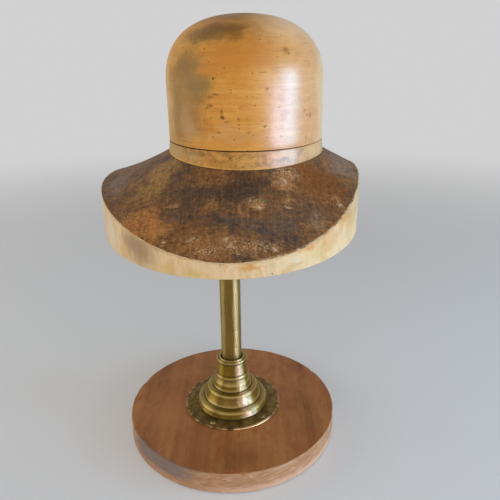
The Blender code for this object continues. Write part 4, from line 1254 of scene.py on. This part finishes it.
# Collar block
# The oval riser under the crown, of the same pale wood as the crown and more stained. It
# is screwed down on the brim, with painted shade along its foot and by the seam, and a
# painted highlight just above its foot.
HONEY = (0.62, 0.285, 0.05)
HONEY_PALE = (0.71, 0.385, 0.095)
HONEY_WARM = (0.54, 0.21, 0.034)
HONEY_DARK = (0.42, 0.17, 0.022)
HONEY_STAIN = (0.22, 0.09, 0.018)
HONEY_GREEN = (0.22, 0.155, 0.05)
HONEY_OLD = (0.5, 0.33, 0.13)
# Pale tint, used as painted light on the lit sides of the crown and collar
HONEY_PAINTED_LIGHT = (0.68, 0.44, 0.18)
HONEY_PIT = (0.08, 0.028, 0.01)
# Painted shade, by the seam and along the collar's foot
SEAM_SHADE = (0.035, 0.018, 0.009)
SEAM_CHAMFER = 0.35 * MM
COLLAR_ROWS = 10
FOOT_EDGE = 0.35 * MM
SCREW_SUNK = 0.5 * MM


def block_wood(name, seed):
    """Varnished honey-coloured wood, its growth lines level, with marks still to come."""
    wood = Finish(name, HONEY, {"Coat Roughness": 0.36, "Coat IOR": 1.9, "Specular IOR Level": 0.1})
    swell = wood.cloud((90.0, 90.0, 60.0), 2.0, 0.5, 0.0, seed)
    sockets = {"X": wood.x, "Y": wood.y, "Z": wood.z + 6.0 * MM * swell}
    level = wood.node("ShaderNodeCombineXYZ", sockets=sockets)
    wood.lines = wood.cloud((50.0, 50.0, 1.2), 4.0, 0.7, 0.1, seed, level)
    wood.rows = wood.cloud((90.0, 90.0, 5.0), 4.0, 0.7, 0.3, seed + 3.0, level)
    wood.blotches = wood.cloud((30.0, 30.0, 20.0), 6.0, 0.68, 0.4, seed + 6.0)
    fine = wood.cloud((2.4, 2.4, 1.5), 4.0, 0.7, 0.2, seed + 8.0)
    dashes = wood.cloud((7.0, 7.0, 0.8), 3.0, 0.6, 0.2, seed + 1.0)
    wood.cover(wood.between(wood.blotches, 0.38, 0.62) * 0.8, HONEY_WARM)
    wood.cover(wood.between(wood.rows, 0.44, 0.66) * 0.5, HONEY_PALE)
    wood.cover(wood.between(wood.lines, 0.5, 0.66) * 0.6, HONEY_DARK)
    wood.cover(wood.between(dashes, 0.61, 0.7) * 0.55, HONEY_STAIN)
    wood.tone(0.72 + 0.3 * wood.lines + 0.34 * fine)
    return wood


def paint_seam_shade(wood, seam, side):
    """Painted shade along the seam, on the side above it or below it, less towards the right."""
    beside = wood.between(wood.z, seam + side * 0.5 * MM, seam + side * 0.1 * MM)
    wood.cover(beside * wood.between(wood.x, 90.0 * MM, 30.0 * MM) * 0.85, SEAM_SHADE)


collar_wood = block_wood("collar_wood", 5.0)
mottle = collar_wood.cloud((11.0, 11.0, 6.0), 7.0, 0.72, 0.4, 3.0)
collar_wood.cover(collar_wood.between(mottle, 0.38, 0.58) * 0.85, HONEY_DARK)
collar_wood.cover(collar_wood.between(mottle, 0.5, 0.62) * 0.85, HONEY_STAIN)
collar_wood.cover(0.2, HONEY_OLD)
collar_wood.stray(2.6, 5.0)
collar_marks = (
    ((0, -104, 351), (22, 20, 3), HONEY_STAIN, 0.4),
    ((-24, -92, 356), (20, 20, 3), HONEY_STAIN, 0.5),
    ((7.7, -110, 354.4), (3.4, 6, 2.2), HONEY_PIT, 0.8),
    ((18, -111, 357), (5.5, 6, 1.3), HONEY_STAIN, 0.8),
    ((-30, -92, 353), (18, 20, 8), HONEY_OLD, 0.6),
    ((-52, -60, 354), (30, 50, 14), HONEY_OLD, 0.9),
    # Painted light on the collar's right side
    ((88, -66, 354), (30, 50, 14), HONEY_PAINTED_LIGHT, 0.6),
    ((40, -108, 348), (8, 8, 3), HONEY_STAIN, 0.5),
    # The next two marks paint a shadow line along the foot at the right
    ((86, -76, 346.2), (34, 40, 2.6), SEAM_SHADE, 0.9),
    ((60, -98, 345.4), (30, 30, 1.6), HONEY_STAIN, 0.8),
    ((31, -110, 350), (4, 6, 2), HONEY_STAIN, 0.6),
    ((60, 95, 352), (14, 14, 6), HONEY_STAIN, 0.5),
    ((-20, 92, 350), (20, 14, 5), HONEY_GREEN, 0.5),
)
collar_wood.stain(collar_marks, 0.1)
across = (collar_wood.x - CROWN_X) / (CROWN_HALF[0] + COLLAR_FLARE)
above_foot = collar_wood.z - (brim_bottom + FOOT_FRONT + FOOT_RISE * across * across)
# Painted highlight in a thin line just above the collar's foot
painted_highlight_line = collar_wood.between(above_foot + 2.0 * MM * (mottle - 0.5), 2.6 * MM, 1.0 * MM)
collar_wood.cover(painted_highlight_line * 0.5, HONEY_PALE)
# Painted shadow in a thin dark line along the collar's foot
painted_foot_shadow = collar_wood.between(above_foot + 1.6 * MM * (mottle - 0.5), 0.7 * MM, 0.1 * MM)
collar_wood.cover(painted_foot_shadow * 0.8, HONEY_STAIN)
collar_low, collar_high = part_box("collar_block")
# Painted shade just below the seam
paint_seam_shade(collar_wood, collar_high.z, -1.0)
collar_wood.lay(
    Roughness=0.4 + 0.22 * mottle,
    Coat_Weight=collar_wood.between(collar_wood.x, 10.0 * MM, 60.0 * MM) * (1.1 - 0.6 * mottle),
    Normal=collar_wood.bump(collar_wood.lines + mottle, 0.1),
)


def wall_foot(phi):
    """The height at which the collar's side starts, over the rounded edge of its foot."""
    return foot_height(phi) + SEAT_GAP + FOOT_EDGE


rings = [seat_ring(share, SEAT_GAP) for share in reversed(SEAT_SHARES)]
for lost, up in ((FOOT_EDGE, 0.0), (FOOT_EDGE / 4, FOOT_EDGE / 4)):
    half_way = [half - lost for half in FOOT_HALF]
    rings.append(oval(CROWN_X, half_way, lambda phi: foot_height(phi) + SEAT_GAP + up))
wall_top = collar_high.z - SEAM_CHAMFER
for row in range(COLLAR_ROWS + 1):
    share = row / COLLAR_ROWS
    half_way = [half + COLLAR_FLARE * (1.0 - share) for half in CROWN_HALF]
    rings.append(oval(CROWN_X, half_way, lambda phi: wall_foot(phi) + (wall_top - wall_foot(phi)) * share))
for angle in (30, 60, 90):
    inset = SEAM_CHAMFER * (1.0 - math.cos(math.radians(angle)))
    top = collar_high.z - SEAM_CHAMFER * (1.0 - math.sin(math.radians(angle)))
    rings.append(oval(CROWN_X, [half - inset for half in CROWN_HALF], lambda phi: top))
collar = ringed("collar_oval", rings, collar_wood.material)

head_top = collar_high.z - SCREW_SUNK
cone = screw_head - screw_shank
hole, sunk = screw_shank + SEAT_GAP, screw_head + SEAT_GAP
outline = [(0.0, collar_low.z - SEAT_GAP), (hole, collar_low.z - SEAT_GAP)]
outline += [(hole, head_top - cone - SEAT_GAP), (sunk, head_top - SEAT_GAP)]
outline += [(sunk, collar_high.z + SEAT_GAP), (0.0, collar_high.z + SEAT_GAP)]
sinks = set_at("sinks", turned("sink", outline, None, ROD_SIDES), screw_places, None)
collar = part_of(collar, sinks, "DIFFERENCE")

DOWELS = ("crown_dowel_1", "crown_dowel_2")
dowel_low, dowel_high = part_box(DOWELS[0])
dowel_radius = (dowel_high.x - dowel_low.x) / 2
dowel_places = middles(DOWELS, 0.0)
drills = pilot_holes(dowel_radius + SEAT_GAP, dowel_low.z - SEAT_GAP, collar_high.z + SEAT_GAP, dowel_places)
collar = part_of(collar, drills, "DIFFERENCE")
settle(collar, "block", "block_wood", "collar_block")


# Collar screws
# Four countersunk steel wood screws, sunk just below the collar's top, where they show
# only while the crown is off. Their threads bite into the brim block.
tip = screw_bottom - head_top
outline = [(0.0, tip), (screw_shank / 2, tip + cone), (screw_shank, tip + 2 * cone), (screw_shank, -cone)]
outline += [(screw_head, -WASHER_EDGE), (screw_head, 0.0), (0.0, 0.0)]
screw = slotted(turned("wood_screw", outline, steel.material, SCREW_SIDES), screw_head, 0.0, steel.material)
places = middles(COLLAR_SCREWS, head_top)
screws = set_at("collar_screws", screw, places, steel.material, math.tau, SCREW_SEED)
settle(screws, "block", "steel", *COLLAR_SCREWS)


# Crown dowels
# Two beech pins glued upright in the collar, with rounded tops, which place the crown.
# They are bare wood, rubbed a little grey where the crown slides over them.
BEECH = (0.5, 0.33, 0.17)
BEECH_DARK = (0.33, 0.2, 0.1)
beech = Finish("beech", BEECH, {"Roughness": 0.6})
rays = beech.cloud((0.5, 0.5, 5.0), 3.0, 0.6)
rub = beech.cloud((4.0, 4.0, 9.0), 3.0, 0.6)
beech.cover(beech.between(rays, 0.5, 0.68), BEECH_DARK)
beech.tone(0.7 + 0.5 * rub)
beech.lay(Normal=beech.bump(rays, 0.05))
edge = dowel_radius / 4
outline = [(0.0, dowel_low.z), (dowel_radius, dowel_low.z)]
outline += arc(dowel_radius - edge, dowel_high.z - edge, edge, 0, 90, 5)
outline.append((0.0, dowel_high.z))
dowels = set_at("dowels", turned("dowel", outline, beech.material, SCREW_SIDES), dowel_places, beech.material)
settle(dowels, "block", "dowel_wood", *DOWELS)


# Crown block
# The domed oval that the hat's crown is pulled over, carved from pale wood and worn to
# a soft shine. It is pitted by pins, smudged at its left, and lifts off its dowels.
CROWN_LEAN = 0.7 * MM
CROWN_WALL = 52.5 * MM
CROWN_DOME = 64.0 * MM
CROWN_POWER = 2.43
WALL_ROWS = 12
DOME_ROWS = 72
CROWN_SIDES = 320
HONEY_GREY = (0.2, 0.125, 0.045)
HONEY_ROSE = (0.56, 0.33, 0.145)
HONEY_ORANGE = (0.6, 0.27, 0.06)
# Painted highlight tint
HONEY_PAINTED_HIGHLIGHT = (0.78, 0.42, 0.13)
FRECKLE_REACH = 0.17
FRECKLE_SHARE = 0.45
# An upright scratch at the right: its middle and reach in mm, its core and its turn, and
# then the heights where its lower end and its upper end fade
SCRATCH = ((75.8, -78.5, 367), (6.5, 0.9, 30), 0.2, -53.0)
SCRATCH_ENDS = ((362.0 * MM, 364.0 * MM), (371.0 * MM, 369.0 * MM))

crown_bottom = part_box("crown_block")[0].z
crown_wood = block_wood("crown_wood", 0.0)
crown_wood.stray(22.0, 44.0, 6.0)
smudges_and_painted_light = (
    ((-40, -66, 395), (34, 50, 62), HONEY_GREEN, 0.7),
    # Painted light on the crown's far left
    ((-60, -30, 400), (30, 64, 74), HONEY_PAINTED_LIGHT, 0.75),
    ((-20, -94, 412), (26, 26, 26), HONEY_GREEN, 0.8),
    ((-28, -80, 430), (24, 26, 18), HONEY_GREY, 0.7),
    ((-12, -76, 454), (42, 34, 17), HONEY_GREY, 0.85),
    ((8, -82, 460), (40, 30, 14), HONEY_STAIN, 0.85),
    ((10, -40, 474), (46, 56, 14), HONEY_GREY, 0.7),
    ((-26, -90, 384), (28, 28, 22), HONEY_STAIN, 0.4),
    ((20, -100, 434), (60, 30, 24), HONEY_WARM, 0.75),
    # Painted highlight on the upper right of the dome
    ((54, -68, 456), (34, 40, 18), HONEY_PAINTED_HIGHLIGHT, 0.9),
    # Painted light on the crown's right edge
    ((96, -40, 400), (18, 40, 70), HONEY_PAINTED_LIGHT, 0.8),
    ((34, -66, 464), (34, 30, 12), HONEY_ORANGE, 0.5),
    ((-30, -84, 380), (18, 30, 22), HONEY_ROSE, 0.5),
    ((8, -108, 375), (40, 14, 12), HONEY_ROSE, 0.35),
    ((21.3, -87, 458), (9, 6, 3.5), HONEY_STAIN, 0.75),
    ((34, -86, 458), (10, 9, 4), HONEY_ORANGE, 0.5),
    ((18, -104, 405), (26, 16, 22), HONEY_ORANGE, 0.3),
    ((-14, -100, 400), (12, 14, 6), HONEY_STAIN, 0.25),
    ((-22, -90, 386), (10, 14, 12), HONEY_STAIN, 0.28),
    ((50, 90, 430), (30, 40, 22), HONEY_GREY, 0.5),
    ((-30, 70, 400), (30, 40, 26), HONEY_GREEN, 0.5),
)
crown_wood.stain(smudges_and_painted_light, 0.2)
cells = {"Vector": crown_wood.scaled((6.0, 6.0, 5.0), 4.0), "Scale": 1.0}
dots = crown_wood.node("ShaderNodeTexVoronoi", sockets=cells)
chance = crown_wood.parts(Value(crown_wood, dots.socket.node.outputs["Color"]))[0]
freckles = crown_wood.between(dots, FRECKLE_REACH, FRECKLE_REACH / 2)
freckles = freckles * crown_wood.between(chance, 0.99 - FRECKLE_SHARE, 1.01 - FRECKLE_SHARE)
crown_wood.cover(freckles * 0.75, HONEY_STAIN)
crown_wood.stray(2.0, 4.0)
pin_marks = (
    ((-5, -103.5, 419.7), (1.5, 4, 1.5), HONEY_PIT, 0.95),
    ((56.0, -91.0, 441.6), (6.0, 6, 5.0), HONEY_DARK, 0.9),
    ((56.4, -91.0, 442.6), (3.2, 5, 1.8), HONEY_STAIN, 0.75),
    ((58.6, -90.0, 438.6), (1.6, 5, 1.4), HONEY_STAIN, 0.7),
    ((1.8, -106.5, 388.5), (2.9, 5, 2.2), HONEY_STAIN, 0.9),
    ((1.4, -106.5, 388.2), (1.4, 4, 1.2), HONEY_PIT, 0.7),
    ((1.4, -106.5, 393.5), (1.5, 4, 4.2), HONEY_STAIN, 0.55),
    ((-8.5, -102, 397.9), (4.2, 5, 1.8), HONEY_STAIN, 0.65),
    ((-11, -101, 396), (2.2, 5, 1.4), HONEY_STAIN, 0.6),
    ((-3.6, -104.4, 407), (5.6, 5, 1.3), HONEY_STAIN, 0.55),
    ((-7.5, -103, 405), (5.0, 5, 1.1), HONEY_STAIN, 0.5),
    ((76.3, -78.1, 387.6), (1.5, 4, 1.5), HONEY_PIT, 0.9),
    ((80, -72.6, 387.2), (1.9, 4, 3.6), HONEY_STAIN, 0.75),
    ((73.5, -81, 391.5), (1.2, 4, 1.2), HONEY_STAIN, 0.8),
    ((38.2, -107, 380.9), (2.0, 4, 1.5), HONEY_STAIN, 0.85),
    ((52.2, -100.7, 371.7), (1.5, 4, 1.4), HONEY_STAIN, 0.6),
    ((39.8, -106.5, 411.1), (1.7, 4, 1.2), HONEY_STAIN, 0.7),
    ((36, -107, 424), (5.0, 5, 0.9), HONEY_STAIN, 0.35),
    ((15.4, -109.5, 387.3), (2.0, 4, 1.3), HONEY_STAIN, 0.5),
    ((-1.8, -105.1, 375.9), (3.4, 4, 1.6), HONEY_STAIN, 0.45),
    ((23.9, -109.6, 375.9), (2.6, 4, 1.8), HONEY_STAIN, 0.45),
    ((6, -108, 385), (4.6, 5, 1.2), HONEY_STAIN, 0.4),
    ((50, -102, 396), (1.3, 4, 1.1), HONEY_STAIN, 0.5),
    ((52, -101, 390), (1.2, 4, 1.0), HONEY_STAIN, 0.5),
    ((-60, 40, 400), (3.0, 4, 2.4), HONEY_STAIN, 0.8),
    ((96, 20, 395), (4, 2.2, 2.0), HONEY_STAIN, 0.8),
    ((40, 108, 392), (2.4, 4, 2.0), HONEY_STAIN, 0.8),
    ((-12, 104, 410), (1.6, 4, 1.6), HONEY_PIT, 0.8),
)
pits = freckles * 0.3
for mark in crown_wood.stain(pin_marks, 0.25):
    pits = crown_wood.maths("MAXIMUM", pits, mark)
scratch = crown_wood.near(*SCRATCH)
for end in SCRATCH_ENDS:
    scratch = scratch * crown_wood.between(crown_wood.z, *end)
crown_wood.cover(scratch * 0.75, HONEY_STAIN)
pits = crown_wood.maths("MAXIMUM", pits, scratch * 0.6)
# Painted shade just above the seam
paint_seam_shade(crown_wood, crown_bottom, 1.0)
relief = crown_wood.bump(crown_wood.lines + 2.0 * crown_wood.blotches, 0.12)
dulled = 0.6 * crown_wood.blotches + 0.4 * crown_wood.lines
crown_wood.lay(
    Roughness=0.4 + 0.16 * crown_wood.blotches + 0.3 * pits,
    Coat_Weight=crown_wood.between(crown_wood.x, 18.0 * MM, 62.0 * MM) * (1.65 - dulled - 0.5 * pits),
    Normal=crown_wood.bump(1.0 - pits, 0.4, relief),
)

outline = [(0.0, 0.0)]
for angle in (0, 30, 60, 90):
    inset = SEAM_CHAMFER * (1.0 - math.sin(math.radians(angle)))
    up = SEAM_CHAMFER * (1.0 - math.cos(math.radians(angle)))
    outline.append((1.0 - inset / CROWN_HALF[0], up))
for row in range(1, WALL_ROWS):
    outline.append((1.0, SEAM_CHAMFER + (CROWN_WALL - SEAM_CHAMFER) * row / WALL_ROWS))
for row in range(DOME_ROWS):
    angle = math.pi / 2 * row / DOME_ROWS
    share = math.cos(angle) ** (2 / CROWN_POWER)
    outline.append((share, CROWN_WALL + CROWN_DOME * math.sin(angle) ** (2 / CROWN_POWER)))
outline.append((0.0, CROWN_WALL + CROWN_DOME))
lean = -CROWN_LEAN / (CROWN_WALL + CROWN_DOME)
stretch, place = (*CROWN_HALF, 1.0), (CROWN_X, 0.0, crown_bottom)
crown = turned("crown_dome", outline, crown_wood.material, CROWN_SIDES, stretch, lean, place)
hole = dowel_radius + RUNNING_GAP
drills = pilot_holes(hole, crown_bottom - SEAT_GAP, dowel_high.z + SEAT_GAP, dowel_places)
crown = part_of(crown, drills, "DIFFERENCE")
settle(crown, "crown", "block_wood", "crown_block")


# Floor, light and camera
# A plain pale floor that runs out into a pale background, with a window of light, a low
# bright panel and a soft one at the right, and broad soft lights in front and at the left.
BACKDROP = (0.64, 0.64, 0.64)
FLOOR_PALE = (0.8, 0.79, 0.775)
FLOOR_GLOW = 0.2
FLOOR_RADIUS = 9.0
FLOOR_SIDES = 64
# Between which distances from the stem, in metres, the floor fades into the backdrop
FLOOR_FADE = (0.6, 2.4)
ROOM_LIGHT = 0.3
ROOM_COLOUR = (1.0, 0.985, 0.96)
# Each light's radiance, colour, width and height, and where it hangs: degrees round from
# the front, degrees up and how far off, all from a point at its target's height. Last is
# its beam in degrees, which a grid narrows on the low panel
LIGHTS = (
    ("window", 7.9, (0.58, 1.0, 1.45), (0.6, 0.66), (77.0, 0.0, 1.6), 0.45, 180.0),
    ("low_panel", 37.0, (0.86, 1.0, 1.64), (0.3, 0.24), (54.0, 0.0, 1.6), 0.135, 40.0),
    ("side_softbox", 2.2, (0.95, 0.97, 1.06), (1.2, 0.7), (42.0, 0.0, 2.0), 0.5, 180.0),
    ("front_softbox", 0.97, (1.0, 0.965, 0.9), (3.4, 1.8), (-8.0, 20.0, 2.2), 0.25, 180.0),
    ("left_softbox", 2.2, (0.95, 0.97, 1.06), (1.3, 1.1), (-84.0, 8.0, 1.7), 0.3, 180.0),
)
LENS_MM = 36.46
SENSOR_MM = 36.0
CAMERA_PLACE = (0.02409, -0.54662, 0.42841)
CAMERA_DOWN = 19.864
CAMERA_ROLL = -0.602


def seen_rays(graph):
    """1 for the rays that show a surface itself, and 0 for those that carry its light."""
    path = graph.node("ShaderNodeLightPath").socket.node
    seen = Value(graph, path.outputs["Is Camera Ray"])
    for ray in ("Is Glossy Ray", "Is Transmission Ray"):
        seen = graph.maths("MAXIMUM", seen, Value(graph, path.outputs[ray]))
    return seen


angles = [math.tau * side / FLOOR_SIDES for side in range(FLOOR_SIDES)]
corners = [(FLOOR_RADIUS * math.cos(angle), FLOOR_RADIUS * math.sin(angle), 0.0) for angle in angles]
floor = linked("floor", mesh_of("floor", corners, [], [tuple(range(FLOOR_SIDES))]))
pale = Finish("floor_paint", FLOOR_PALE, {"Roughness": 0.75, "Specular IOR Level": 0.15})
glow = pale.node("ShaderNodeEmission", sockets={"Color": BACKDROP, "Strength": 1.0})
output = pale.tree.nodes["Material Output"]
share = FLOOR_GLOW * seen_rays(pale) + (1.0 - FLOOR_GLOW) * pale.between(pale.from_axis(), *FLOOR_FADE)
sockets = {0: share, 1: Value(pale, pale.shader.outputs[0]), 2: glow}
faded = pale.node("ShaderNodeMixShader", sockets=sockets)
pale.tree.links.new(faded.socket, output.inputs["Surface"])
floor.data.materials.append(pale.material)

world = bpy.data.worlds.new("room")
world.use_nodes = True
bpy.context.scene.world = world
room = Graph(world.node_tree)
lit = room.node("ShaderNodeBackground", sockets={"Color": ROOM_COLOUR, "Strength": ROOM_LIGHT})
shown = room.node("ShaderNodeBackground", sockets={"Color": BACKDROP, "Strength": 1.0})
both = room.node("ShaderNodeMixShader", sockets={0: seen_rays(room), 1: lit, 2: shown})
room.tree.links.new(both.socket, room.tree.nodes["World Output"].inputs["Surface"])

for name, radiance, colour, (width, height), (round_by, up_by, off), target, beam in LIGHTS:
    lamp = bpy.data.lights.new(name, "AREA")
    lamp.shape = "RECTANGLE"
    lamp.size, lamp.size_y = width, height
    lamp.color = colour
    lamp.spread = math.radians(beam)
    focus = 1.0 - lamp.spread / 2 / math.tan(lamp.spread / 2)
    lamp.energy = radiance * math.pi * width * height * focus
    light = linked(name, lamp)
    azimuth, elevation = math.radians(round_by), math.radians(up_by)
    level = math.cos(elevation)
    away = Vector((math.sin(azimuth) * level, -math.cos(azimuth) * level, math.sin(elevation)))
    light.location = away * off + Vector((0.0, 0.0, target))
    light.rotation_euler = away.to_track_quat("Z", "Y").to_euler()
    light.visible_camera = False

lens = bpy.data.cameras.new("camera")
lens.lens = LENS_MM
lens.sensor_width = SENSOR_MM
camera = linked("camera", lens)
tilt = Matrix.Rotation(math.radians(90.0 - CAMERA_DOWN), 4, "X")
roll = Matrix.Rotation(math.radians(CAMERA_ROLL), 4, "Z")
camera.matrix_world = Matrix.Translation(CAMERA_PLACE) @ tilt @ roll
bpy.context.scene.camera = camera
bpy.context.scene.view_settings.view_transform = "Standard"
